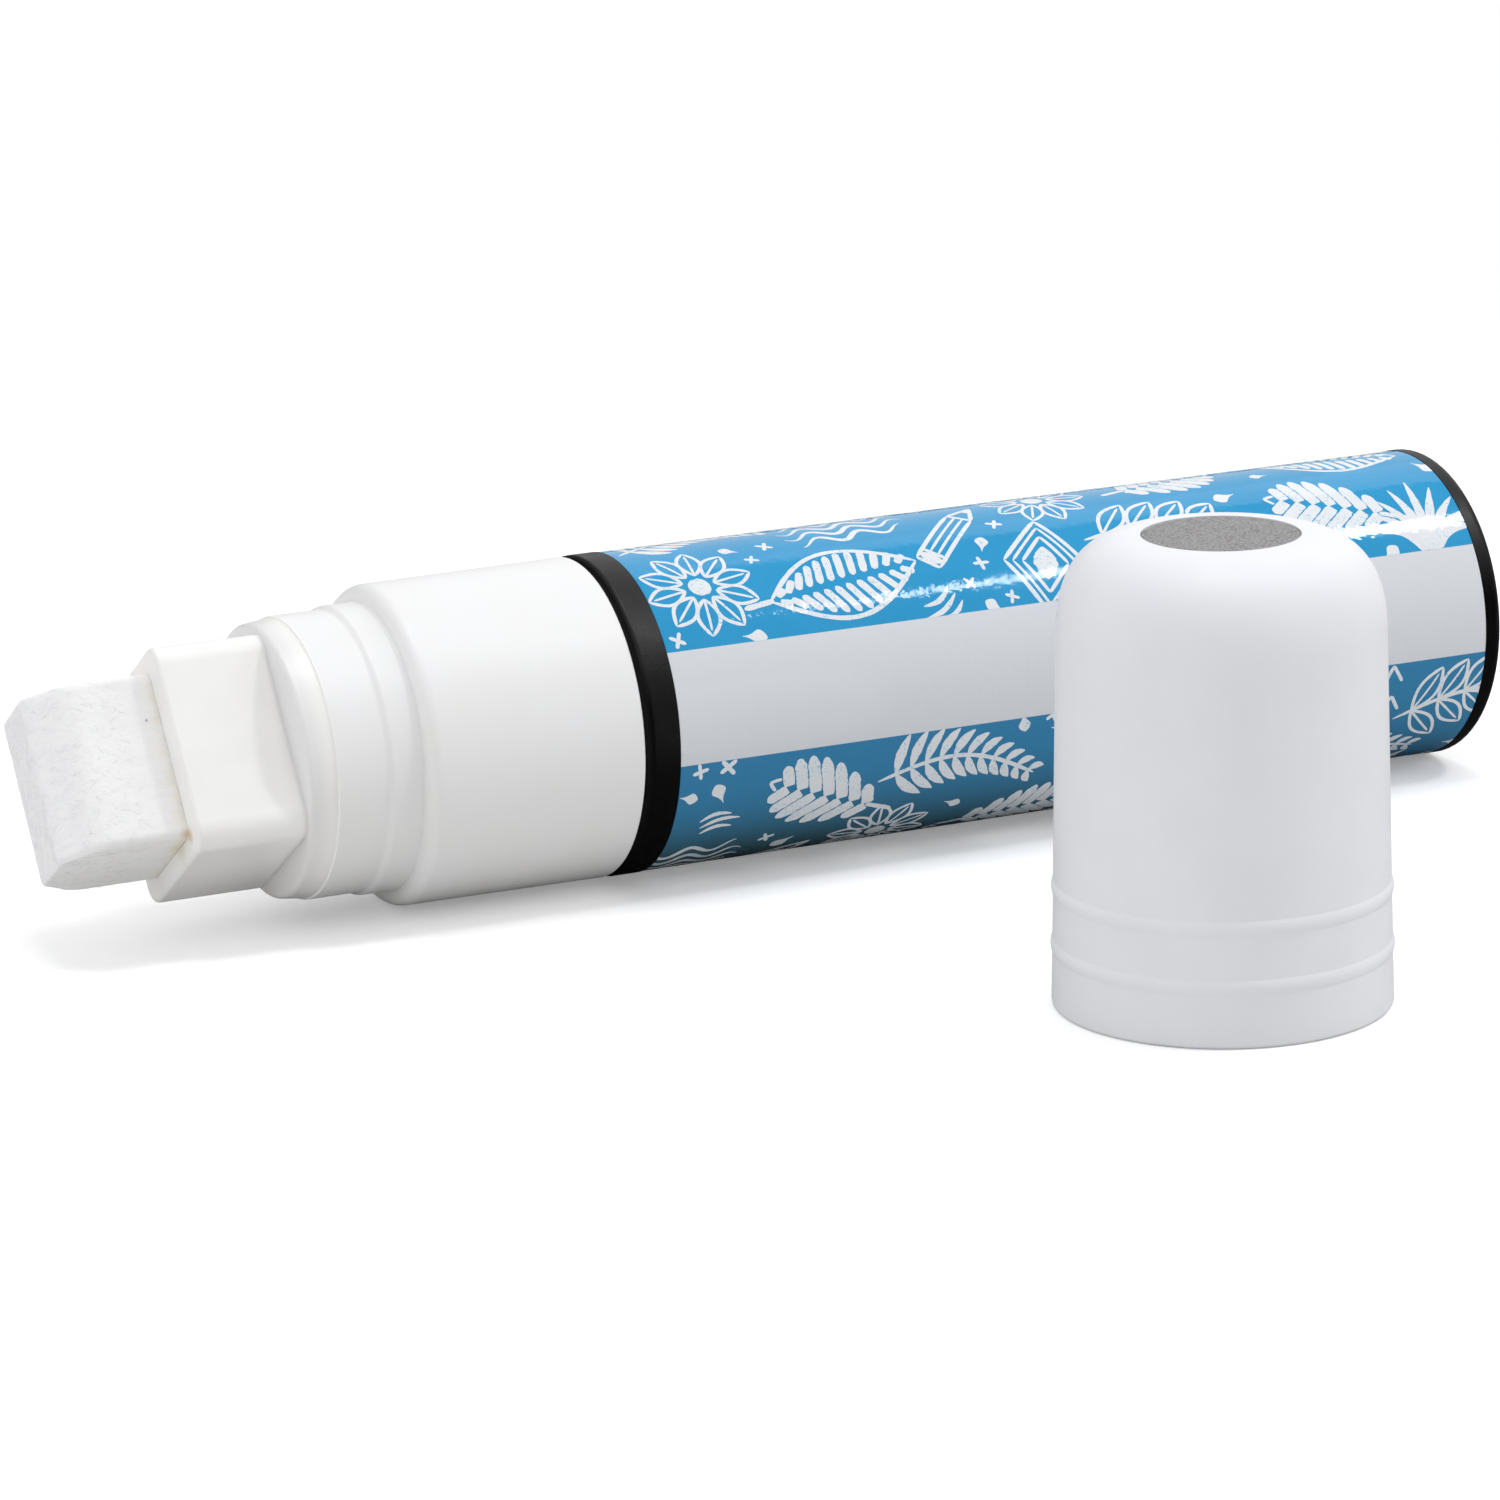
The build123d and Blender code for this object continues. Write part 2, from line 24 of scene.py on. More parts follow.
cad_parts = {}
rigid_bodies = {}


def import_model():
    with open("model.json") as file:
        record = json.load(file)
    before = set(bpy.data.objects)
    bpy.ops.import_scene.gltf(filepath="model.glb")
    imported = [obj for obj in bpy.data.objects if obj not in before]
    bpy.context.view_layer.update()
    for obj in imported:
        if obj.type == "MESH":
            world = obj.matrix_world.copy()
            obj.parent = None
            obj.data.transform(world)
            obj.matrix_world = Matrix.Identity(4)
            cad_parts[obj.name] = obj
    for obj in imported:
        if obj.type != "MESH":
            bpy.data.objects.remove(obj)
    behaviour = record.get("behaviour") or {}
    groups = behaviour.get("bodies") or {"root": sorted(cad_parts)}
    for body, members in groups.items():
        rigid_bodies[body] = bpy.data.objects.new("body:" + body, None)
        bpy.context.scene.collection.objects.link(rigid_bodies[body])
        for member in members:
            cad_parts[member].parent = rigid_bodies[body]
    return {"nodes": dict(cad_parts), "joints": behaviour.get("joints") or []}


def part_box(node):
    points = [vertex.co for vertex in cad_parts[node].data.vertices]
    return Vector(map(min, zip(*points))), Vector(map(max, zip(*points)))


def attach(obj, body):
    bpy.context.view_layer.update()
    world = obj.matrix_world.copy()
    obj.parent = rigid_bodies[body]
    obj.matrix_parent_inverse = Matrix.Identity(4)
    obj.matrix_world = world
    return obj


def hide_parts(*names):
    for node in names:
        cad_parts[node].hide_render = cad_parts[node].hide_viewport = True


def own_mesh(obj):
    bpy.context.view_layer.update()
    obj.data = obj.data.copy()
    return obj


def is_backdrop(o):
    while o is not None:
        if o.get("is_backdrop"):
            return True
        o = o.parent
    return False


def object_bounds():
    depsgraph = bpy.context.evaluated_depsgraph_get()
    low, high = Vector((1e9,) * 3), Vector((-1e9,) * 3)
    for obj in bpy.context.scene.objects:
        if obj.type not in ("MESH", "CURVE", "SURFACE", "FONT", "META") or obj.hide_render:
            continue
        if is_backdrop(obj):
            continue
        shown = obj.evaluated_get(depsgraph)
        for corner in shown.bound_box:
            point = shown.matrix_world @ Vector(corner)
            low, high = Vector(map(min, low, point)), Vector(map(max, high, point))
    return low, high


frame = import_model()
cad_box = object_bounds()

MM = 0.001
NIB_PRESS = "nib_press"
NOISE_MIDDLE = 0.5
SIDES = (1, -1)
log = logging.getLogger("chalk_marker")

Colour = tuple[float, float, float, float]
Triple = tuple[float, float, float]
Limits = tuple[float, float]
Key = Union[int, str]
Term = Union["Signal", float]
Place = tuple[float, float]
Rule = Callable[[float], Place]
Width = Callable[[float], float]

PURE_WHITE: Colour = (1.0, 1.0, 1.0, 1.0)


def paint(red: int, green: int, blue: int) -> Colour:
    """Linear colour of a display colour.

    Args:
        red: Red of the display colour, 0 to 255.
        green: Green, 0 to 255.
        blue: Blue, 0 to 255.

    Returns:
        The colour as shader sockets take it.
    """
    shares = [value / 255 for value in (red, green, blue)]
    linear = [s / 12.92 if s <= 0.04045 else ((s + 0.055) / 1.055) ** 2.4 for s in shares]
    return (linear[0], linear[1], linear[2], 1.0)


class Body(Enum):
    """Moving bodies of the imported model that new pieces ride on."""

    MARKER = "marker"
    NIB_UNIT = "nib_unit"


class Slot(Enum):
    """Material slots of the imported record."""

    FELT = "felt"
    FILM = "printed_film"
    SPRING = "spring_steel"


class Signal:
    """A node socket that takes part in Python expressions."""

    def __init__(self, graph: Graph, socket: bpy.types.NodeSocket) -> None:
        """Wraps an output socket of a node in a graph."""
        self.graph = graph
        self.socket = socket

    def other(self, output: Key) -> Signal:
        """Another output of the same node."""
        return Signal(self.graph, self.socket.node.outputs[output])

    def ordered(self, operation: str, *terms: Term) -> Signal:
        """A Math node on the given terms, in their order."""
        return self.graph.node("ShaderNodeMath", {"operation": operation}, dict(enumerate(terms)))

    def math(self, operation: str, *terms: Term) -> Signal:
        """A Math node on this value and the given terms."""
        return self.ordered(operation, self, *terms)

    def vector(self, operation: str, *terms: Any) -> Signal:
        """A Vector Math node on this vector and the given terms."""
        inputs = dict(enumerate((self, *terms)))
        return self.graph.node("ShaderNodeVectorMath", {"operation": operation}, inputs)

    def __add__(self, term: Term) -> Signal:
        """Sum of this value and a term."""
        return self.math("ADD", term)

    def __radd__(self, term: Term) -> Signal:
        """Sum of a term and this value."""
        return self.ordered("ADD", term, self)

    def __sub__(self, term: Term) -> Signal:
        """This value less a term."""
        return self.math("SUBTRACT", term)

    def __rsub__(self, term: Term) -> Signal:
        """A term less this value."""
        return self.ordered("SUBTRACT", term, self)

    def __mul__(self, term: Term) -> Signal:
        """Product of this value and a term."""
        return self.math("MULTIPLY", term)

    def __rmul__(self, term: Term) -> Signal:
        """Product of a term and this value."""
        return self.ordered("MULTIPLY", term, self)

    def __truediv__(self, term: Term) -> Signal:
        """This value divided by a term."""
        return self.math("DIVIDE", term)

    def __rtruediv__(self, term: Term) -> Signal:
        """A term divided by this value."""
        return self.ordered("DIVIDE", term, self)

    def most(self, term: Term) -> Signal:
        """The larger of this value and a term."""
        return self.math("MAXIMUM", term)

    def least(self, term: Term) -> Signal:
        """The smaller of this value and a term."""
        return self.math("MINIMUM", term)

    def reach(self, across: Signal) -> Signal:
        """Length of the diagonal of this distance and one square to it."""
        return (self * self + across * across).math("SQRT")

    def swing(self, spread: float) -> Signal:
        """This noise moved to swing about nought and spread out."""
        return (self - NOISE_MIDDLE) * spread

    def step(self, low: float, high: float) -> Signal:
        """Smooth rise from one value to another.

        Args:
            low: Value that gives nought.
            high: Value that gives one. It may be the smaller of the two.

        Returns:
            The rise, nought to one.
        """
        if low > high:
            return 1.0 - self.step(high, low)
        settings = {"interpolation_type": "SMOOTHSTEP"}
        return self.graph.node("ShaderNodeMapRange", settings, {0: self, 1: low, 2: high})

    def parts(self) -> tuple[Signal, Signal, Signal]:
        """X, Y and Z of this vector."""
        first = self.graph.node("ShaderNodeSeparateXYZ", inputs={0: self})
        return first, first.other("Y"), first.other("Z")


class Graph:
    """A node tree that is written one node at a time."""

    def __init__(self, tree: bpy.types.NodeTree) -> None:
        """Takes the tree to write in."""
        self.tree = tree

    def node(
        self,
        kind: str,
        settings: Union[dict[str, Any], None] = None,
        inputs: Union[dict[Key, Any], None] = None,
        output: Key = 0,
    ) -> Signal:
        """Adds a node, sets it up and joins it to what it reads.

        Args:
            kind: Blender's type name of the node.
            settings: Properties of the node, set before its sockets.
            inputs: Values or signals for its input sockets, by number or name.
            output: The output socket that is handed back.

        Returns:
            The chosen output, or the first input of a node that has no output.
        """
        made = self.tree.nodes.new(kind)
        for name, value in (settings or {}).items():
            setattr(made, name, value)
        for key, value in (inputs or {}).items():
            if isinstance(value, Signal):
                self.tree.links.new(value.socket, made.inputs[key])
            else:
                made.inputs[key].default_value = value
        return Signal(self, made.outputs[output] if made.outputs else made.inputs[0])

    def noise(self, place: Signal, size: float, detail: float = 2.0, seed: float = 0.0) -> Signal:
        """Even noise about one half.

        Args:
            place: The place that is read, in metres.
            size: Size of the largest lumps.
            detail: Octaves of finer lumps.
            seed: Moves the pattern, so that two noises differ.

        Returns:
            The noise, about 0.3 to 0.7.
        """
        moved = place.vector("ADD", (seed, seed, seed))
        inputs = {"Vector": moved, "Scale": 1.0 / size, "Detail": detail}
        return self.node("ShaderNodeTexNoise", inputs=inputs)

    def joined(self, x: Term, y: Term, z: Term) -> Signal:
        """The vector of three values."""
        return self.node("ShaderNodeCombineXYZ", inputs={0: x, 1: y, 2: z})

    def blend(self, share: Signal, first: Signal, second: Signal) -> Signal:
        """The first shader where the share is nought, the second where it is one."""
        return self.node("ShaderNodeMixShader", inputs={0: share, 1: first, 2: second})


class Recipe(Graph):
    """A material while its nodes are being written."""

    def __init__(self, name: str) -> None:
        """Starts an empty material.

        Args:
            name: Name of the material.
        """
        self.material = bpy.data.materials.new(name)
        self.material.use_nodes = True
        super().__init__(self.material.node_tree)
        self.tree.nodes.clear()

    def place(self) -> Signal:
        """The place on the piece, in metres of the shared frame."""
        return self.node("ShaderNodeTexCoord", output="Object")

    def mix(self, share: Term, first: Any, second: Any) -> Signal:
        """Colour between two colours.

        Args:
            share: Nought gives the first colour, one the second.
            first: Colour or colour signal.
            second: Colour or colour signal.

        Returns:
            The mixed colour.
        """
        inputs = {0: share, 6: first, 7: second}
        return self.node("ShaderNodeMix", {"data_type": "RGBA"}, inputs, output=2)

    def bump(self, height: Signal, depth: float, under: Union[Signal, None] = None) -> Signal:
        """Normal of a surface with relief.

        Args:
            height: Relief, nought to one.
            depth: Real depth of the relief, in metres.
            under: Normal of a coarser relief below it.

        Returns:
            The bumped normal.
        """
        inputs: dict[Key, Any] = {"Height": height, "Distance": depth}
        if under is not None:
            inputs["Normal"] = under
        return self.node("ShaderNodeBump", inputs=inputs)

    def close(self, **sockets: Any) -> bpy.types.Material:
        """Ends the recipe in a Principled shader.

        Args:
            sockets: Socket values or signals, with _ for the blanks in the socket's name.

        Returns:
            The finished material.
        """
        inputs = {name.replace("_", " "): value for name, value in sockets.items()}
        shader = self.node("ShaderNodeBsdfPrincipled", inputs=inputs)
        self.node("ShaderNodeOutputMaterial", inputs={"Surface": shader})
        return self.material


class GeometryRule(Graph):
    """A Geometry Nodes tree with named inputs, used once to make a plain mesh."""

    def __init__(self, name: str) -> None:
        """Starts a tree that takes a mesh and gives a mesh.

        Args:
            name: Name of the tree.
        """
        group = bpy.data.node_groups.new(name, "GeometryNodeTree")
        super().__init__(group)
        self.name = name
        self.values: dict[str, Any] = {}
        for way in ("INPUT", "OUTPUT"):
            group.interface.new_socket("Geometry", in_out=way, socket_type="NodeSocketGeometry")
        self.entry = group.nodes.new("NodeGroupInput")

    def carrier(self) -> Signal:
        """The mesh that the tree starts from."""
        return Signal(self, self.entry.outputs["Geometry"])

    def position(self) -> Signal:
        """The place of each point."""
        return self.node("GeometryNodeInputPosition")

    def given(self, name: str, value: Any, kind: str = "NodeSocketFloat") -> Signal:
        """Adds a named input.

        Args:
            name: The input's name.
            value: The value that this object gives it.
            kind: Blender's type name of the socket.

        Returns:
            The input as a signal.
        """
        socket = self.tree.interface.new_socket(name, in_out="INPUT", socket_type=kind)
        self.values[socket.identifier] = value
        return Signal(self, self.entry.outputs[name])

    def tube(self, path: Signal, radius: Signal, points: int) -> Signal:
        """Runs a round section along a curve and closes its ends.

        Args:
            path: The curve.
            radius: Radius of the section.
            points: Points round the section.

        Returns:
            The tube's mesh.
        """
        inputs = {"Resolution": points, "Radius": radius}
        ring = self.node("GeometryNodeCurvePrimitiveCircle", {"mode": "RADIUS"}, inputs)
        return self.node("GeometryNodeCurveToMesh", inputs={0: path, 1: ring, "Fill Caps": True})

    def turn_into(
        self, piece_name: str, carrier: bpy.types.Object, result: Signal, look: bpy.types.Material
    ) -> bpy.types.Object:
        """Closes the tree, runs it on a carrier and keeps the outcome as a plain mesh.

        Args:
            piece_name: Name of the new piece.
            carrier: Object that the tree starts from, removed afterwards.
            result: Geometry at the end of the tree.
            look: Material of the new piece.

        Returns:
            The new piece, at the origin.
        """
        real = self.node("GeometryNodeRealizeInstances", inputs={0: result})
        dressed = self.node("GeometryNodeSetMaterial", inputs={0: real, "Material": look})
        self.node("NodeGroupOutput", inputs={"Geometry": dressed})
        modifier = carrier.modifiers.new(self.name, "NODES")
        modifier.node_group = self.tree
        for identifier, value in self.values.items():
            modifier[identifier] = value
        evaluated = carrier.evaluated_get(bpy.context.evaluated_depsgraph_get())
        mesh = bpy.data.meshes.new_from_object(evaluated)
        carrier.modifiers.remove(modifier)
        bpy.data.objects.remove(carrier)
        mesh.name = piece_name
        return place_mesh(piece_name, mesh)


def place_mesh(name: str, mesh: bpy.types.Mesh) -> bpy.types.Object:
    """Puts a mesh into the scene at the origin.

    Args:
        name: Name of the new object.
        mesh: Its mesh, with its place in its points.

    Returns:
        The new object.
    """
    made = bpy.data.objects.new(name, mesh)
    bpy.context.scene.collection.objects.link(made)
    return made


def settle(piece: bpy.types.Object, body: Body, slot: Slot, *nodes: str) -> None:
    """Hands a new piece to the frame.

    Args:
        piece: The piece, in place.
        body: Body that it moves with.
        slot: Material slot of the record; not used.
        nodes: CAD nodes that it stands for.
    """
    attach(piece, body.value)
    if nodes:
        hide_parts(*nodes)
    log.info("%s: %d faces", piece.name, len(piece.data.polygons))


def dress(node: str, look: bpy.types.Material) -> None:
    """Gives a CAD node its finish.

    Args:
        node: Name of the node.
        look: The finish.
    """
    piece = frame["nodes"][node]
    piece.data.materials.clear()
    piece.data.materials.append(look)
    log.info("%s: dressed in %s", node, look.name)


def travel(joint: str) -> float:
    """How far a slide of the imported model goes."""
    return next(found["range_m"][1] for found in frame["joints"] if found["name"] == joint)


@dataclass(frozen=True)
class Axis:
    """The marker's own axis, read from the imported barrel."""

    foot: float
    y: float
    z: float

    @classmethod
    def of_barrel(cls) -> Axis:
        """Finds the axis in the middle of the barrel's box."""
        low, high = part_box("barrel")
        return cls(high.x, (low.y + high.y) / 2, (low.z + high.z) / 2)

    def offsets(self, place: Signal) -> tuple[Signal, Signal, Signal]:
        """Station, distance to the far side and height over the axis, in metres."""
        x, y, z = place.parts()
        return self.foot - x, y - self.y, z - self.z


@dataclass(frozen=True)
class SoftSpot:
    """A soft spot of another colour on a surface."""

    centre: Vector
    radius: float
    colour: Colour
    strength: float
    lump_share: float = 0.9
    raggedness: float = 0.7

    def over(self, recipe: Recipe, place: Signal, under: Any) -> Signal:
        """Lays the spot over a colour.

        Args:
            recipe: Material that is being written.
            place: Place on the piece.
            under: Colour below the spot.

        Returns:
            The colour with the spot.
        """
        ragged = recipe.noise(place, self.radius * self.lump_share, seed=0.31)
        distance = place.vector("DISTANCE", tuple(self.centre)).other("Value")
        mask = (distance / self.radius + ragged.swing(self.raggedness)).step(1.0, 0.0)
        return recipe.mix(mask * self.strength, under, self.colour)


@dataclass(frozen=True)
class EndTone:
    """One end of a turned moulding in a tone of its own, lighter or darker, as painted light and shade near a
    seam.
    """

    axis: Axis
    start: float
    end: float
    colour: Colour

    def over(self, recipe: Recipe, place: Signal, under: Any) -> Signal:
        """Lays the tone over a colour, as a stain is laid."""
        station, _, _ = self.axis.offsets(place)
        return recipe.mix(station.step(self.start, self.end), under, self.colour)


@dataclass(frozen=True)
class MouldedPlastic:
    """Moulded plastic with a fine grain, slow waves from cooling and a colour that drifts a little."""

    name: str
    colour: Colour
    drift: Colour
    roughness: float
    roughness_spread: float = 0.10
    grain: float = 0.16 * MM
    grain_depth: float = 0.0012 * MM
    wave: float = 6.0 * MM
    wave_depth: float = 0.003 * MM
    drift_limits: Limits = (0.35, 0.70)
    smear_share: float = 0.4
    # Tints laid over the colour: real marks, and painted light and shade where the caller gives them.
    tints: tuple[Union[SoftSpot, EndTone], ...] = ()

    def material(self) -> bpy.types.Material:
        """Writes the material.

        Returns:
            The finished material.
        """
        recipe = Recipe(self.name)
        place = recipe.place()
        wave = recipe.noise(place, self.wave, detail=1.0)
        grain = recipe.noise(place, self.grain, seed=0.17)
        smear = recipe.noise(place, self.wave * self.smear_share, detail=3.0, seed=0.53)
        colour = recipe.mix(wave.step(*self.drift_limits), self.colour, self.drift)
        for tint in self.tints:
            colour = tint.over(recipe, place, colour)
        return recipe.close(
            Base_Color=colour,
            Roughness=self.roughness + smear.swing(self.roughness_spread),
            Normal=recipe.bump(grain, self.grain_depth, recipe.bump(wave, self.wave_depth)),
        )


@dataclass(frozen=True)
class BarrelPlastic:
    """Satin black barrel, rubbed grey at the rim of its foot, with a painted sheen on top for the light from
    above.
    """

    axis: Axis
    radius: float
    colour: Colour = paint(3, 3, 4)
    rubbed: Colour = paint(46, 46, 47)
    # Painted sheen on top of the barrel, standing in for the light from above.
    painted_top_sheen: Colour = paint(40, 40, 41)
    grain: float = 0.2 * MM
    grain_depth: float = 0.012 * MM
    smear: float = 2.2 * MM
    smear_depth: float = 0.006 * MM
    smear_limits: Limits = (0.35, 0.6)
    scuff: float = 1.1 * MM
    scuff_stretch: Triple = (9.0, 1.0, 1.0)
    scuff_limits: Limits = (0.62, 0.78)
    scuff_wear: float = 0.25
    rim_depth: float = 0.25 * MM
    rim_stations: Limits = (0.9 * MM, 0.15 * MM)
    rim_wear: float = 0.8
    sheen_height_shares: Limits = (0.2, 0.65)
    sheen_depths: Limits = (0.3 * MM, 0.1 * MM)
    dust_and_sheen_limits: Limits = (0.3, 0.7)
    sheen_spread: float = 0.5
    sheen_base: float = 0.75
    roughness: float = 0.42
    roughness_spread: float = 0.2
    worn_roughness: float = 0.15
    specular: float = 0.32

    def material(self) -> bpy.types.Material:
        """Writes the material.

        Returns:
            The finished material.
        """
        recipe = Recipe("black_barrel_plastic")
        place = recipe.place()
        station, far, high = self.axis.offsets(place)
        reach = far.reach(high)
        grain = recipe.noise(place, self.grain)
        smear = recipe.noise(place, self.smear, detail=4.0, seed=0.4)
        scuff = recipe.noise(place.vector("MULTIPLY", self.scuff_stretch), self.scuff, detail=3.0, seed=0.9)
        rim = reach.step(self.radius - self.rim_depth, self.radius) * station.step(*self.rim_stations)
        worn = rim * self.rim_wear + scuff.step(*self.scuff_limits) * self.scuff_wear
        worn = worn * smear.step(*self.smear_limits)
        # Painted sheen: lighter towards the top and the outer skin of the barrel, varied a little by the
        # grain.
        dust_and_sheen = high.step(*(share * self.radius for share in self.sheen_height_shares))
        dust_and_sheen = dust_and_sheen * reach.step(*(self.radius - depth for depth in self.sheen_depths))
        dust_and_sheen = dust_and_sheen * (grain.step(*self.dust_and_sheen_limits) * self.sheen_spread + self.sheen_base)
        return recipe.close(
            Base_Color=recipe.mix(worn, recipe.mix(dust_and_sheen, self.colour, self.painted_top_sheen), self.rubbed),
            Roughness=self.roughness + smear.swing(self.roughness_spread) + worn * self.worn_roughness,
            Normal=recipe.bump(grain, self.grain_depth, recipe.bump(smear, self.smear_depth)),
            Specular_IOR_Level=self.specular,
        )


@dataclass(frozen=True)
class Gloss:
    """Gloss of the film, with the faint ripples that break up its highlight."""

    peel: float = 0.75 * MM
    ripple: float = 2.6 * MM
    ripple_stretch: Triple = (0.5, 1.0, 1.0)
    depth: float = 0.02 * MM
    handled: float = 9.0 * MM
    handled_limits: Limits = (0.45, 0.75)
    handled_roughness: float = 0.05
    roughness: float = 0.05
    specular: float = 0.34

    def close(self, recipe: Recipe, place: Signal, colour: Signal) -> bpy.types.Material:
        """Ends a recipe in the gloss.

        Args:
            recipe: Material that is being written.
            place: Place on the piece.
            colour: Colour of the print.

        Returns:
            The finished material.
        """
        peel = recipe.noise(place, self.peel, seed=0.7)
        ripple = recipe.noise(place.vector("MULTIPLY", self.ripple_stretch), self.ripple, seed=0.1)
        handled = recipe.noise(place, self.handled, detail=4.0, seed=0.8)
        return recipe.close(
            Base_Color=colour,
            Roughness=self.roughness + handled.step(*self.handled_limits) * self.handled_roughness,
            Normal=recipe.bump(peel, self.depth, recipe.bump(ripple, self.depth)),
            Specular_IOR_Level=self.specular,
        )


@dataclass(frozen=True)
class FilmPrint:
    """Gloss film: blue ground with a plain white band along the near side, a deeper blue below the band that
    is partly print and partly painted shade, and painted shade that darkens the underside towards the grip
    end. Turns go up from the near side.
    """

    axis: Axis
    blue: Colour = paint(56, 154, 204)
    mottle: Colour = paint(52, 149, 199)
    # Deeper blue below the band: partly print, partly painted shade of the underside.
    print_and_shade_blue: Colour = paint(59, 130, 174)
    # Painted shade: darker blue on the underside, strongest towards the grip end.
    painted_shade_blue: Colour = paint(58, 92, 104)
    white: Colour = paint(214, 217, 222)
    band_low: float = math.radians(-7.0)
    band_high: float = math.radians(33.75)
    band_edge: float = math.radians(0.12)
    cloud: float = 7.0 * MM
    cloud_limits: Limits = (0.3, 0.7)
    cloud_share: float = 0.7
    screen: float = 0.12 * MM
    screen_share: float = 0.3
    deep_start: float = math.radians(15.0)
    deep_back: Limits = (math.radians(-170.0), math.radians(-110.0))
    painted_shade_turns: Limits = (math.radians(-15.0), math.radians(-60.0))
    painted_shade_stations: Limits = (0.0, 80.0 * MM)
    painted_shade_spread: float = 0.7
    painted_shade_base: float = 0.3

    def material(self) -> bpy.types.Material:
        """Writes the material.

        Returns:
            The finished material.
        """
        recipe = Recipe("printed_gloss_film")
        place = recipe.place()
        station, far, high = self.axis.offsets(place)
        turn = high.math("ARCTAN2", 0.0 - far)
        band = turn.step(self.band_low - self.band_edge, self.band_low + self.band_edge)
        band = band * turn.step(self.band_high + self.band_edge, self.band_high - self.band_edge)
        cloud = recipe.noise(place, self.cloud, detail=3.0).step(*self.cloud_limits)
        screen = recipe.noise(place, self.screen, detail=1.0, seed=0.2)
        mottled = cloud * self.cloud_share + screen * self.screen_share
        # Deeper blue below the band, partly print and partly painted shade.
        deep = turn.step(self.deep_start, self.band_low) * turn.step(*self.deep_back)
        # Painted shade: darker towards the underside and the grip end.
        dark = station.step(*self.painted_shade_stations) * self.painted_shade_spread + self.painted_shade_base
        dark = turn.step(*self.painted_shade_turns) * dark
        lower = recipe.mix(dark, self.print_and_shade_blue, self.painted_shade_blue)
        ground = recipe.mix(deep, recipe.mix(mottled, self.blue, self.mottle), lower)
        return Gloss().close(recipe, place, recipe.mix(band, ground, self.white))


@dataclass(frozen=True)
class ChalkInk:
    """White print that breaks up a little, as chalk does."""

    white: Colour = paint(226, 230, 234)
    broken: Colour = paint(150, 198, 228)
    dust_and_sheen: float = 0.22 * MM
    dust_and_sheen_limits: Limits = (0.56, 0.66)
    patch: float = 2.5 * MM
    patch_limits: Limits = (0.42, 0.62)

    def material(self) -> bpy.types.Material:
        """Writes the material.

        Returns:
            The finished material.
        """
        recipe = Recipe("chalk_white_print")
        place = recipe.place()
        dust_and_sheen = recipe.noise(place, self.dust_and_sheen, detail=3.0)
        patch = recipe.noise(place, self.patch, seed=0.6)
        gaps = dust_and_sheen.step(*self.dust_and_sheen_limits) * patch.step(*self.patch_limits)
        return Gloss().close(recipe, place, recipe.mix(gaps, self.white, self.broken))


@dataclass(frozen=True)
class PressedFelt:
    """Pressed fibre of the nib, mottled along its grain, greyer at its tip and soaked at its root."""

    axis: Axis
    root: float
    tip: float
    tints: tuple[SoftSpot, ...]
    colour: Colour = paint(243, 243, 243)
    hollow: Colour = paint(236, 236, 237)
    used: Colour = paint(239, 239, 243)
    soaked: Colour = paint(240, 233, 218)
    stretch: Triple = (0.35, 1.0, 1.0)
    mottle: float = 1.1 * MM
    mottle_limits: Limits = (0.45, 0.75)
    mottle_share: float = 0.55
    fibre: float = 0.16 * MM
    fibre_depth: float = 0.02 * MM
    fibre_limits: Limits = (0.5, 0.8)
    fibre_share: float = 0.45
    used_length: float = 4.5 * MM
    used_limits: Limits = (0.25, 0.65)
    used_strength: float = 0.8
    soaked_length: float = 1.6 * MM
    soaked_limits: Limits = (0.3, 0.6)
    soaked_strength: float = 0.7
    roughness: float = 0.92
    roughness_spread: float = 0.1
    sheen: float = 0.15
    specular: float = 0.25

    def material(self) -> bpy.types.Material:
        """Writes the material.

        Returns:
            The finished material.
        """
        recipe = Recipe("pressed_white_felt")
        place = recipe.place()
        station, _, _ = self.axis.offsets(place)
        along = place.vector("MULTIPLY", self.stretch)
        mottle = recipe.noise(along, self.mottle, detail=4.0)
        fibre = recipe.noise(along, self.fibre, detail=3.0, seed=0.23)
        uneven = mottle.step(*self.mottle_limits) * self.mottle_share
        uneven = uneven + fibre.step(*self.fibre_limits) * self.fibre_share
        colour = recipe.mix(uneven, self.colour, self.hollow)
        used = station.step(self.tip - self.used_length, self.tip) * mottle.step(*self.used_limits)
        colour = recipe.mix(used * self.used_strength, colour, self.used)
        wet = station.step(self.root + self.soaked_length, self.root) * mottle.step(*self.soaked_limits)
        colour = recipe.mix(wet * self.soaked_strength, colour, self.soaked)
        for tint in self.tints:
            colour = tint.over(recipe, place, colour)
        return recipe.close(
            Base_Color=colour,
            Roughness=self.roughness + fibre.swing(self.roughness_spread),
            Normal=recipe.bump(fibre, self.fibre_depth),
            Sheen_Weight=self.sheen,
            Specular_IOR_Level=self.specular,
        )


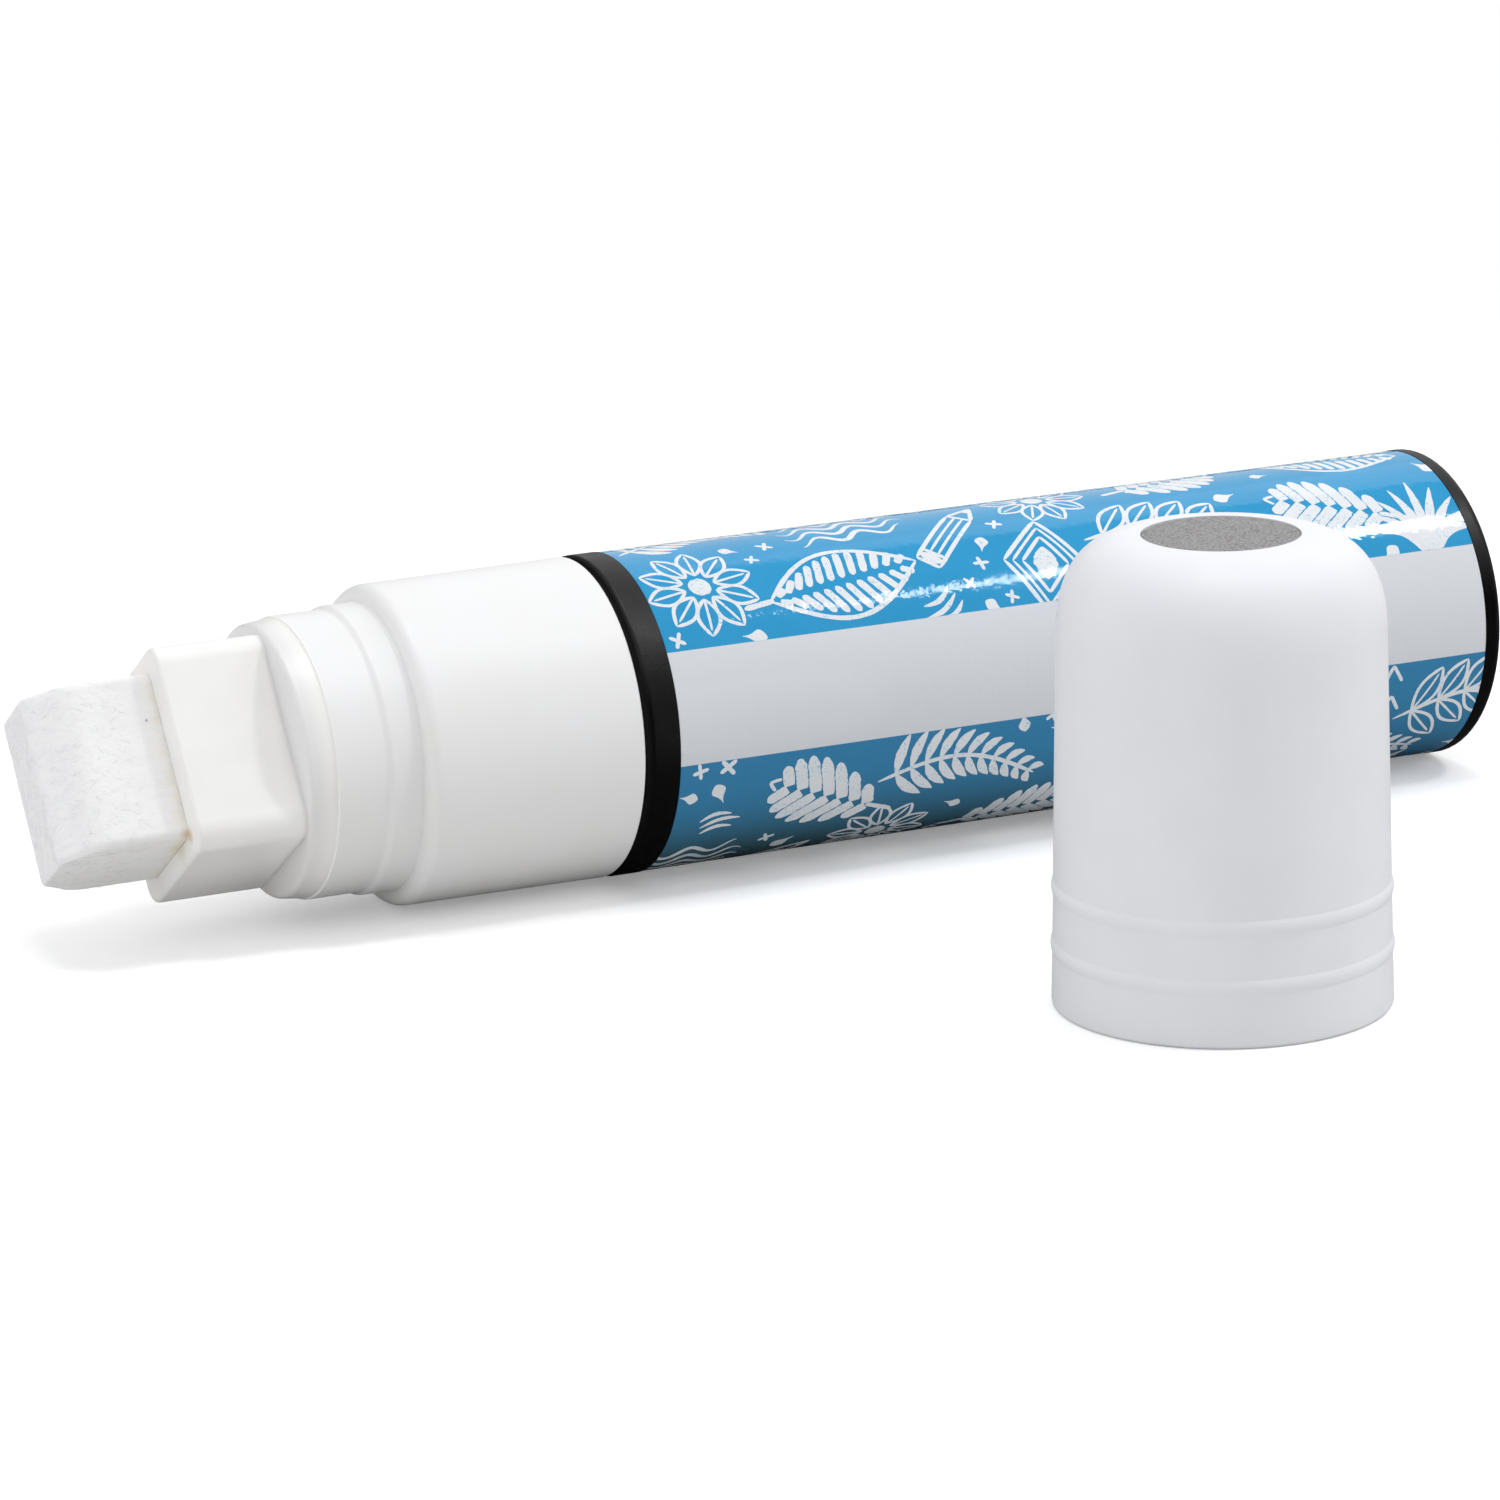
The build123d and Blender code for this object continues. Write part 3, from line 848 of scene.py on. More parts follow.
@dataclass(frozen=True)
class SpeckledDisc:
    """Grey insert with a fine dark and light speckle."""

    colour: Colour = paint(147, 145, 146)
    dark: Colour = paint(118, 116, 117)
    light: Colour = paint(168, 166, 166)
    speck: float = 0.22 * MM
    speck_depth: float = 0.006 * MM
    speck_limits: Limits = (0.50, 0.62)
    fleck: float = 0.26 * MM
    fleck_limits: Limits = (0.56, 0.66)
    roughness: float = 0.62
    roughness_spread: float = 0.3

    def material(self) -> bpy.types.Material:
        """Writes the material.

        Returns:
            The finished material.
        """
        recipe = Recipe("speckled_grey_disc")
        place = recipe.place()
        speck = recipe.noise(place, self.speck)
        fleck = recipe.noise(place, self.fleck, seed=0.37)
        colour = recipe.mix(speck.step(*self.speck_limits), self.colour, self.dark)
        return recipe.close(
            Base_Color=recipe.mix(fleck.step(*self.fleck_limits), colour, self.light),
            Roughness=self.roughness + speck.swing(self.roughness_spread),
            Normal=recipe.bump(speck, self.speck_depth),
        )


@dataclass(frozen=True)
class BareSteel:
    """Bright steel with drawing marks and a thin film of ink."""

    name: str
    colour: Colour = paint(196, 197, 200)
    filmed: Colour = paint(222, 222, 220)
    roughness: float = 0.28
    roughness_spread: float = 0.2
    marks: float = 0.5 * MM
    marks_stretch: Triple = (6.0, 1.0, 1.0)
    marks_depth: float = 0.002 * MM
    film: float = 1.6 * MM
    film_limits: Limits = (0.55, 0.7)
    film_strength: float = 0.5
    film_roughness: float = 0.2

    def material(self) -> bpy.types.Material:
        """Writes the material.

        Returns:
            The finished material.
        """
        recipe = Recipe(self.name)
        place = recipe.place()
        marks = recipe.noise(place.vector("MULTIPLY", self.marks_stretch), self.marks, detail=3.0)
        film = recipe.noise(place, self.film, detail=3.0, seed=0.6).step(*self.film_limits)
        return recipe.close(
            Base_Color=recipe.mix(film * self.film_strength, self.colour, self.filmed),
            Metallic=1.0 - film * self.film_strength,
            Roughness=self.roughness + marks.swing(self.roughness_spread) + film * self.film_roughness,
            Normal=recipe.bump(marks, self.marks_depth),
        )


def even_steps(length: float, cell: float) -> list[float]:
    """Even places from minus half a length to plus half of it, about a cell apart."""
    count = round(length / cell)
    return [length * (step / count - 0.5) for step in range(count + 1)]


def box_mesh(name: str, grids: Sequence[Sequence[float]], place: Callable[..., Vector]) -> bpy.types.Mesh:
    """Closed mesh over the six sides of a box, with a rule that places its points.

    Args:
        name: Name of the mesh.
        grids: Places of the grid lines in the three directions.
        place: Gives the point of the shared frame for three such places.

    Returns:
        The mesh, with its faces outwards.
    """
    points: list[Vector] = []
    index: dict[tuple[int, ...], int] = {}

    def point(key: tuple[int, ...]) -> int:
        """Number of the point at a crossing of grid lines, which is made when it is first asked for.

        Args:
            key: The three lines' numbers.

        Returns:
            The point's number.
        """
        if key not in index:
            index[key] = len(points)
            points.append(place(*(grid[line] for grid, line in zip(grids, key))))
        return index[key]

    faces: list[list[int]] = []
    for fixed in range(3):
        first, second = (direction for direction in range(3) if direction != fixed)
        ends = (0, len(grids[fixed]) - 1)
        cells = itertools.product(ends, range(len(grids[first]) - 1), range(len(grids[second]) - 1))
        for end, i, j in cells:
            corners = []
            for step_i, step_j in ((0, 0), (1, 0), (1, 1), (0, 1)):
                key = [0, 0, 0]
                key[fixed], key[first], key[second] = end, i + step_i, j + step_j
                corners.append(point(tuple(key)))
            faces.append(corners)
    return closed_mesh(name, points, faces)


def tube_faces(base: int, rings: int, size: int) -> list[list[int]]:
    """Faces of a closed tube through rings of points.

    Args:
        base: Number of the first ring's first point.
        rings: How many rings there are.
        size: Points in a ring.

    Returns:
        The faces at the two ends and then those of the sides.
    """
    last = base + (rings - 1) * size
    faces = [list(range(base, base + size)), list(range(last, last + size))]
    for near in range(base, last, size):
        for here in range(size):
            there = (here + 1) % size
            faces.append([near + here, near + there, near + size + there, near + size + here])
    return faces


def closed_mesh(name: str, points: Sequence[Vector], faces: Sequence[Sequence[int]]) -> bpy.types.Mesh:
    """Mesh of a closed surface, with its faces turned outwards.

    Args:
        name: Name of the mesh.
        points: Its points.
        faces: Its faces, as numbers of points.

    Returns:
        The mesh.
    """
    mesh = bpy.data.meshes.new(name)
    mesh.from_pydata(points, [], faces)
    shape = bmesh.new()
    shape.from_mesh(mesh)
    bmesh.ops.recalc_face_normals(shape, faces=shape.faces)
    shape.to_mesh(mesh)
    shape.free()
    return mesh


def shade_by_angle(mesh: bpy.types.Mesh, limit: float = math.radians(30)) -> None:
    """Shades a mesh smooth, apart from its sharp edges."""
    mesh.shade_smooth()
    mesh.set_sharp_from_angle(angle=limit)


@dataclass
class FeltNib:
    """Felt block with a wedge at its tip, which slides in the nib holder."""

    axis: Axis
    width: float = 15.26 * MM
    thickness: float = 11.66 * MM
    tip_thickness: float = 5.9 * MM
    bevel_length: float = 3.45 * MM
    bevel_blend: float = 1.1 * MM
    edge_radius: float = 0.8 * MM
    tip_radius: float = 0.3 * MM
    roll: float = math.radians(33.7)
    cell: float = 0.15 * MM
    hidden_rows: int = 14
    relief: float = 0.055 * MM
    relief_size: float = 0.42 * MM
    relief_stretch: Triple = (0.45, 1.0, 1.0)
    relief_level: float = 0.6
    swell: float = 0.07 * MM
    swell_size: float = 2.8 * MM
    swell_level: float = 0.55
    fibre_length: float = 0.9 * MM
    fibre_clear_share: float = 0.7
    fibre_radius: float = 0.010 * MM
    fibre_points: int = 4
    fibre_sides: int = 3
    fibre_bow_share: float = 0.25
    fibre_heights: Triple = (-0.02 * MM, 0.09 * MM, 0.03 * MM)
    fibre_sway: float = 1.1
    fibre_least: Triple = (0.45, -1.0, 0.5)
    fibre_most: Triple = (1.2, 1.0, 1.2)
    fibre_density: float = 3.2e6
    seed: int = 11

    def __post_init__(self) -> None:
        """Reads the nib's ends and the holder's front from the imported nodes."""
        low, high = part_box("nib")
        self.tip = self.axis.foot - low.x
        self.tail = self.axis.foot - high.x
        self.holder_front = self.axis.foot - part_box("nib_holder")[0].x
        self.across = Vector((0, math.sin(self.roll), math.cos(self.roll)))
        self.face = Vector((0, -math.cos(self.roll), math.sin(self.roll)))

    def build(self, look: bpy.types.Material) -> None:
        """Makes the felt and its loose fibres.

        Args:
            look: Material of both.
        """
        felt = self.roughen(look)
        loose = self.fibres(felt, look)
        settle(felt, Body.NIB_UNIT, Slot.FELT, "nib")
        settle(loose, Body.NIB_UNIT, Slot.FELT)

    def spot(self, station: float, across: float, through: float) -> Vector:
        """Point of the shared frame for a place in the nib's own directions."""
        foot = Vector((self.axis.foot - station, self.axis.y, self.axis.z))
        return foot + self.across * across + self.face * through

    def half_thickness(self, station: float) -> float:
        """Half the thickness at a station, with the bevel run in softly.

        Args:
            station: Distance from the foot.

        Returns:
            The half thickness there.
        """
        into = station - (self.tip - self.bevel_length)
        slope = (self.thickness - self.tip_thickness) / 2 / self.bevel_length
        if into <= -self.bevel_blend:
            return self.thickness / 2
        if into >= self.bevel_blend:
            return self.thickness / 2 - slope * into
        return self.thickness / 2 - slope * (into + self.bevel_blend) ** 2 / (4 * self.bevel_blend)

    def rounded(self, station: float, across: float, through: float) -> Vector:
        """Moves a place on the plain block to the rounded wedge.

        Args:
            station: Distance from the foot.
            across: Distance across the width.
            through: Distance through the thickness.

        Returns:
            The point in the shared frame.
        """
        radii = Vector((self.tip_radius, self.edge_radius, self.edge_radius))
        half_width, half_depth = self.width / 2, self.thickness / 2
        core = Vector((
            min(station, self.tip - radii.x),
            max(radii.y - half_width, min(half_width - radii.y, across)),
            max(radii.z - half_depth, min(half_depth - radii.z, through)),
        ))
        push = Vector(part / radius for part, radius in zip(Vector((station, across, through)) - core, radii))
        if push.length > 0:
            core += push.normalized() * radii
        taper = self.half_thickness(core.x) / half_depth
        return self.spot(core.x, core.y, core.z * taper)

    def block(self) -> bpy.types.Object:
        """Meshes the six sides of the block, finely where the nib stands out of its holder.

        Returns:
            The block.
        """
        start = self.holder_front - self.edge_radius
        rows = round((self.tip - start) / self.cell)
        hidden = [self.tail + (start - self.tail) * row / self.hidden_rows for row in range(self.hidden_rows)]
        shown = [start + (self.tip - start) * row / rows for row in range(rows + 1)]
        grids = (hidden + shown, even_steps(self.width, self.cell), even_steps(self.thickness, self.cell))
        return place_mesh("nib_block", box_mesh("nib_felt", grids, self.rounded))

    def roughen(self, look: bpy.types.Material) -> bpy.types.Object:
        """Presses the felt's uneven face into the block.

        Args:
            look: Material of the felt.

        Returns:
            The felt.
        """
        rule = GeometryRule("felt_face")
        relief = rule.given("Relief", self.relief)
        swell = rule.given("Swell", self.swell)
        place = rule.position()
        fine = rule.noise(place.vector("MULTIPLY", self.relief_stretch), self.relief_size, detail=3.0)
        coarse = rule.noise(place, self.swell_size, seed=0.3)
        height = (fine - self.relief_level) * relief + (coarse - self.swell_level) * swell
        outward = {0: rule.node("GeometryNodeInputNormal"), "Scale": height}
        offset = rule.node("ShaderNodeVectorMath", {"operation": "SCALE"}, outward)
        moved = rule.node("GeometryNodeSetPosition", inputs={0: rule.carrier(), "Offset": offset})
        smooth = rule.node("GeometryNodeSetShadeSmooth", inputs={0: moved})
        return rule.turn_into("nib_felt", self.block(), smooth, look)

    def fibre(self, rule: GeometryRule) -> Signal:
        """Bends one fibre, which lies along X.

        Args:
            rule: Tree that is being written.

        Returns:
            The fibre's mesh.
        """
        reach = self.fibre_length / 2
        start, middle, end = self.fibre_heights
        arch = {
            "Resolution": self.fibre_points,
            "Start": (-reach, 0.0, start),
            "Middle": (0.0, self.fibre_bow_share * reach, middle),
            "End": (reach, 0.0, end),
        }
        path = rule.node("GeometryNodeCurveQuadraticBezier", inputs=arch)
        return rule.tube(path, rule.given("Radius", self.fibre_radius), self.fibre_sides)

    def fibres(self, felt: bpy.types.Object, look: bpy.types.Material) -> bpy.types.Object:
        """Strews short fibres along the faces that stay out of the holder when the nib is pressed.

        Args:
            felt: The felt that they lie on.
            look: Their material.

        Returns:
            The fibres as one mesh.
        """
        rule = GeometryRule("felt_fibres")
        density = rule.given("Density", self.fibre_density)
        seed = rule.given("Seed", self.seed, "NodeSocketInt")
        pressed_in = self.holder_front + travel(NIB_PRESS)
        shown = self.axis.foot - pressed_in - self.fibre_length * self.fibre_clear_share
        x, _, _ = rule.position().parts()
        chosen = rule.node("FunctionNodeCompare", {"operation": "LESS_THAN"}, {0: x, 1: shown})
        faces = {0: rule.carrier(), "Selection": chosen, "Density": density, "Seed": seed}
        spread = rule.node("GeometryNodeDistributePointsOnFaces", inputs=faces)
        facing = {"Rotation": spread.other("Rotation"), "Vector": (1.0, 0.0, 0.0)}
        lie = rule.node("FunctionNodeAlignRotationToVector", {"axis": "X", "pivot_axis": "Z"}, facing)
        angles = {2: -self.fibre_sway, 3: self.fibre_sway, "Seed": seed}
        sway = rule.node("FunctionNodeRandomValue", {"data_type": "FLOAT"}, angles, output=1)
        twist = rule.node("FunctionNodeAxisAngleToRotation", inputs={"Angle": sway})
        turns = {"Rotation": lie, "Rotate By": twist}
        turned = rule.node("FunctionNodeRotateRotation", {"rotation_space": "LOCAL"}, turns)
        sizes = {0: self.fibre_least, 1: self.fibre_most, "Seed": seed + 1.0}
        size = rule.node("FunctionNodeRandomValue", {"data_type": "FLOAT_VECTOR"}, sizes)
        strewn = rule.node(
            "GeometryNodeInstanceOnPoints",
            inputs={0: spread, "Instance": self.fibre(rule), "Rotation": turned, "Scale": size},
        )
        carrier = place_mesh("fibre_carrier", felt.data.copy())
        return rule.turn_into("nib_fibres", carrier, strewn, look)


@dataclass(frozen=True)
class Stroke:
    """One chalk line: a centre line in millimetres with the width at each of its points."""

    line: tuple[Place, ...]
    widths: tuple[float, ...]

    @classmethod
    def drawn(cls, rule: Rule, width: Width, length: float, step: float = 0.45, fewest: int = 9) -> Stroke:
        """Samples a curve, more closely towards its ends.

        Args:
            rule: Place at a share of the curve.
            width: Width at a share of the curve.
            length: About how long the curve is.
            step: About how far apart the points are.
            fewest: The fewest steps that it is given.

        Returns:
            The stroke.
        """
        count = max(fewest, round(length / step))
        even = [i / count for i in range(count + 1)]
        shares = [share / 2 + (1 - math.cos(math.pi * share)) / 4 for share in even]
        return cls(tuple(rule(s) for s in shares), tuple(width(s) for s in shares))

    def moved(self, x: float, y: float, turn: float = 0.0) -> Stroke:
        """Turns the stroke about nought and then moves it.

        Args:
            x: Distance along the film.
            y: Distance round the film.
            turn: Angle, in radians.

        Returns:
            The moved stroke.
        """
        cos, sin = math.cos(turn), math.sin(turn)
        line = tuple((x + px * cos - py * sin, y + px * sin + py * cos) for px, py in self.line)
        return Stroke(line, self.widths)


def shifted(strokes: Sequence[Stroke], x: float, y: float, turn: float = 0.0) -> list[Stroke]:
    """Several strokes, each turned and moved alike."""
    return [stroke.moved(x, y, turn) for stroke in strokes]


def chalk(width: float) -> Width:
    """Width of a line drawn with chalk, rounded off at its ends."""
    return lambda share: width * min(1.0, 0.2 + math.sqrt(6 * min(share, 1 - share)))


def blade(width: float) -> Width:
    """Width of a filled blade, widest at its middle and pointed at both ends."""
    return lambda share: 0.08 + width * math.sin(math.pi * share) ** 0.8


def wedge(width: float) -> Width:
    """Width of a filled triangle that ends in a point."""
    return lambda share: 0.1 + width * (1 - share)


def disc(width: float) -> Width:
    """Width of a stroke with round ends that fills a disc or an oval."""
    return lambda share: 0.05 + width * math.sqrt(max(0.0, 1 - (2 * share - 1) ** 2))


def lobed(width: float) -> Width:
    """Width of a filled lobe, cut off at its root and round at its end."""
    return lambda share: width * min(1.0, 0.8 + 2 * share, 0.1 + 1.9 * math.sqrt(1 - share))


def teardrop(width: float) -> Width:
    """Width of a filled drop, pointed at its start and full towards its end."""
    return lambda share: 0.08 + width * math.sin(math.pi * share**2)


def straight(start: Place, end: Place) -> Rule:
    """Rule for a straight line."""
    return lambda share: (start[0] + (end[0] - start[0]) * share, start[1] + (end[1] - start[1]) * share)


def bowed(length: float, rise: float) -> Rule:
    """Rule for a low arch from nought to a length along X."""
    return lambda share: (length * share, rise * math.sin(math.pi * share))


def bar(start: Place, end: Place, width: float = 0.42) -> Stroke:
    """Straight chalk line."""
    return Stroke.drawn(straight(start, end), chalk(width), math.dist(start, end))


def chain(corners: Sequence[Place], width: float = 0.42) -> list[Stroke]:
    """Chalk lines from corner to corner."""
    return [bar(start, end, width) for start, end in zip(corners, corners[1:])]


def filled(length: float, width: Width, step: float) -> Stroke:
    """Filled figure of a given width, which lies along X about nought."""
    return Stroke.drawn(straight((-length / 2, 0.0), (length / 2, 0.0)), width, length, step)


def oval(length: float, width: float) -> Stroke:
    """Filled oval about nought."""
    return filled(length, disc(width), length / 12)


def leaf(length: float, half_width: float, line: float = 0.4) -> list[Stroke]:
    """Leaf drawn as two bowed lines with a thinner midrib."""
    edges = [Stroke.drawn(bowed(length, side * half_width), chalk(line), length * 1.2) for side in SIDES]
    return edges + [bar((0.0, 0.0), (length * 0.86, 0.0), line * 0.7)]


def sprig() -> list[Stroke]:
    """Bowed stem with pairs of drawn leaves and one at its end.

    Returns:
        The strokes.
    """
    length, rise, line = 18.0, 1.8, 0.5
    stem = bowed(length, rise)
    strokes = [Stroke.drawn(stem, chalk(line), length)]
    for share in (0.12, 0.30, 0.48, 0.66):
        for side in SIDES:
            strokes += shifted(leaf(6.4 - 2.6 * share, 1.25), *stem(share), side * (0.98 - 0.3 * share))
    strokes += shifted(leaf(5.0, 1.3), *stem(0.9), -0.3)
    return shifted(strokes, -10.5, -rise / 2)


def feather() -> list[Stroke]:
    """Broad leaf filled with slanting bars, with its midrib left clear.

    Returns:
        The strokes.
    """
    length, half_width, bars = 17.0, 4.2, 12
    strokes = [Stroke.drawn(bowed(length, side * half_width), chalk(0.5), length) for side in SIDES]
    strokes.append(bar((-3.0, 0.0), (0.4, 0.0), 0.6))
    for number in range(bars):
        share = (number + 1.0) / (bars + 1.4)
        reach = half_width * math.sin(math.pi * share) * 0.9
        for side in SIDES:
            start = (length * share - 0.3, side * 0.36)
            strokes.append(bar(start, (length * share + 0.9, side * reach), 0.78))
    return shifted(strokes, -length / 2, 0.0)


def broad_leaf() -> list[Stroke]:
    """Filled leaf whose midrib and veins are left clear.

    Returns:
        The strokes.
    """
    length, half_width, lobes, slant = 15.0, 4.5, 8, math.radians(56)
    strokes = [bar((-3.0, 0.0), (0.6, 0.0), 0.6)]
    for number in range(lobes):
        share = (number + 0.3) / (lobes + 0.4)
        reach = 1.12 * half_width * math.sin(math.pi * (share + 0.12)) ** 0.75
        for side in SIDES:
            lobe = Stroke.drawn(straight((0.0, 0.0), (reach, 0.0)), lobed(1.36), reach, 0.25)
            strokes.append(lobe.moved(length * share, side * 0.22, side * slant))
    return shifted(strokes, 0.4 - length / 2, 0.0)


def fern() -> list[Stroke]:
    """Bowed stem with two rows of filled blades that shorten to its tip.

    Returns:
        The strokes.
    """
    length, rise, pairs = 17.0, 2.6, 11
    stem = bowed(length, rise)
    strokes = [Stroke.drawn(stem, chalk(0.45), length)]
    for number in range(pairs):
        share = 0.1 + 0.86 * number / (pairs - 1)
        lean = -0.48 * (2 * share - 1)
        size = 4.6 - 3.1 * share
        for side in SIDES:
            part = Stroke.drawn(bowed(size, side * 0.3), blade(1.0 - 0.25 * share), size, 0.3)
            strokes.append(part.moved(*stem(share), lean + side * (1.05 - 0.25 * share)))
    return shifted(strokes, -length / 2, -1.4)


def zigzag() -> list[Stroke]:
    """Two sharp zigzag lines with a row of dots between them.

    Returns:
        The strokes.
    """
    length, teeth, height, line, dot = 16.0, 6, 2.4, 0.48, 0.9
    strokes = []
    for level in (-2.2, 2.2):
        steps = range(2 * teeth + 1)
        corners = [(length * (i / (2 * teeth) - 0.5), level + height * (i % 2 - 0.5)) for i in steps]
        strokes += chain(corners, line)
    return strokes + [oval(dot, dot).moved(length * (i / teeth - 0.5), 0.35) for i in range(1, teeth)]


def waves() -> list[Stroke]:
    """Four wavy lines that swell in the middle.

    Returns:
        The strokes.
    """
    rows, spacing = 4, 1.9
    strokes = []
    for row in range(rows):
        level = row - (rows - 1) / 2
        run = 17.0 - 2.2 * abs(level)

        def wave(share: float, run: float = run, rise: float = spacing * level) -> Place:
            """Place on one wavy line."""
            x = run * (share - 0.5)
            return x, rise + 0.85 * math.sin(1.15 * x)

        strokes.append(Stroke.drawn(wave, blade(0.62), run * 1.3, 0.35))
    return strokes


def kite() -> list[Stroke]:
    """Diamonds one within the other, with a filled heart.

    Returns:
        The strokes.
    """
    strokes = [filled(4.4, blade(2.6), 0.25)]
    for half_long, half_wide, line in ((6.6, 4.7, 0.5), (5.3, 3.7, 0.34), (3.8, 2.6, 0.42)):
        corners = [(half_long, 0.0), (0.0, half_wide), (-half_long, 0.0), (0.0, -half_wide), (half_long, 0.0)]
        strokes += chain(corners, line)
    return strokes


def daisy() -> list[Stroke]:
    """Round flower with drawn petals and a filled heart.

    Returns:
        The strokes.
    """
    petals, heart, root = 10, 2.4, 1.7
    strokes = [oval(heart, heart)]
    for number in range(petals):
        turn = 2 * math.pi * number / petals
        strokes += shifted(leaf(4.5, 1.2), root * math.cos(turn), root * math.sin(turn), turn)
    return strokes


def tuft() -> list[Stroke]:
    """Tuft of filled blades that fan out from one root.

    Returns:
        The strokes.
    """
    half_count, fan = 4, math.radians(58)
    strokes = []
    for number in range(-half_count, half_count + 1):
        lean = number / half_count
        length = 11.0 - 3.6 * abs(lean)
        part = Stroke.drawn(bowed(length, -1.6 * lean), blade(1.05), length)
        strokes.append(part.moved(-4.8, 0.5 * lean, lean * fan))
    return strokes


def bunting() -> list[Stroke]:
    """Sagging string of pennants, filled and drawn by turns.

    Returns:
        The strokes.
    """
    length, sag, pennants, drop_length = 20.0, 1.8, 5, 4.2
    string = bowed(length, -sag)
    strokes = [Stroke.drawn(string, chalk(0.42), length)]
    for number in range(pennants):
        if number % 2:
            flag = [Stroke.drawn(straight((0.0, 0.0), (0.0, -drop_length)), wedge(2.9), drop_length, 0.3)]
        else:
            flag = chain([(-1.5, 0.0), (0.0, -drop_length), (1.5, 0.0)], 0.4)
            flag += chain([(-0.9, -0.8), (0.9, -0.8)], 0.3)
        strokes += shifted(flag, *string((number + 0.5) / pennants))
    return shifted(strokes, -length / 2, 3.0)


def pencil() -> list[Stroke]:
    """Stub of a pencil with a filled point.

    Returns:
        The strokes.
    """
    end, band, neck, point, half, thin = -6.0, -4.4, 3.6, 7.0, 1.3, 0.3
    outline = [(end, -half), (neck, -half), (point, 0.0), (neck, half), (end, half), (end, -half)]
    strokes = chain(outline, 0.45)
    strokes += chain([(band, -half), (band, half)]) + chain([(band, 0.42), (neck, 0.42)], thin)
    strokes += chain([(band, -0.42), (neck, -0.42)], thin) + chain([(neck, -half), (neck, half)])
    strokes.append(Stroke.drawn(straight((5.5, 0.0), (point, 0.0)), wedge(1.1), 1.5, 0.3))
    return strokes + [oval(1.3, 2.3).moved((end + band) / 2, 0.0)]


def drop() -> list[Stroke]:
    """Filled drop."""
    return [filled(2.4, teardrop(1.4), 0.2)]


def cross() -> list[Stroke]:
    """Small cross of two short lines."""
    return [bar((-0.9, 0.0), (0.9, 0.1), 0.4), bar((0.0, -0.9), (0.1, 0.9), 0.4)]


def wisp() -> list[Stroke]:
    """Three short bowed strokes side by side."""
    return [Stroke.drawn(bowed(4.2 - abs(y), 0.5), blade(0.42), 4.0).moved(-2.0, y) for y in (-0.9, 0.0, 0.9)]


class Motif(Enum):
    """Figures of the print, with their drawing and the circles that they fill, as (x, radius)."""

    SPRIG = (sprig, ((-8.0, 2.2), (-5.0, 4.0), (-1.0, 4.0), (3.0, 3.4), (7.5, 2.2)))
    FEATHER = (feather, ((-9.5, 1.2), (-5.5, 3.0), (-1.5, 4.2), (2.5, 4.0), (6.5, 2.4)))
    BROAD_LEAF = (broad_leaf, ((-7.5, 1.4), (-4.5, 3.6), (-0.5, 4.8), (3.5, 4.4), (6.5, 2.6)))
    FERN = (fern, ((-7.0, 3.2), (-3.5, 4.0), (0.5, 3.6), (4.5, 2.8), (8.0, 1.6)))
    ZIGZAG = (zigzag, ((-6.5, 3.0), (-3.0, 3.4), (0.0, 3.4), (3.0, 3.4), (6.5, 3.0)))
    WAVES = (waves, ((-6.0, 3.3), (-2.0, 3.8), (2.0, 3.8), (6.0, 3.3)))
    KITE = (kite, ((-4.0, 2.4), (0.0, 4.4), (4.0, 2.4)))
    DAISY = (daisy, ((0.0, 6.0),))
    TUFT = (tuft, ((-3.5, 2.0), (0.0, 4.0), (3.0, 4.6)))
    BUNTING = (bunting, ((-8.0, 2.6), (-4.0, 2.8), (0.0, 3.0), (4.0, 2.8), (8.0, 2.6)))
    PENCIL = (pencil, ((-5.0, 1.8), (-2.0, 1.8), (1.0, 1.8), (4.0, 1.6), (6.4, 0.9)))
    DROP = (drop, ((-0.2, 0.8), (0.5, 0.8)))
    CROSS = (cross, ((0.0, 0.9),))
    WISP = (wisp, ((-1.0, 1.3), (1.0, 1.3)))

    @property
    def drawing(self) -> Callable[[], list[Stroke]]:
        """Function that draws the figure."""
        return self.value[0]

    @property
    def circles(self) -> tuple[Place, ...]:
        """Circles that the figure fills."""
        return self.value[1]


@dataclass(frozen=True)
class Placing:
    """Where one figure lies on the flat film, in millimetres from its front end and from the band."""

    motif: Motif
    x: float
    y: float
    turn: float
    size: float = 1.0

    def circles(self) -> Iterator[Triple]:
        """Circles that the figure fills on the film.

        Returns:
            Each circle, as (x, y, radius).
        """
        cos, sin = math.cos(self.turn), math.sin(self.turn)
        for along, radius in self.motif.circles:
            reach = along * self.size
            yield self.x + reach * cos, self.y + reach * sin, radius * self.size


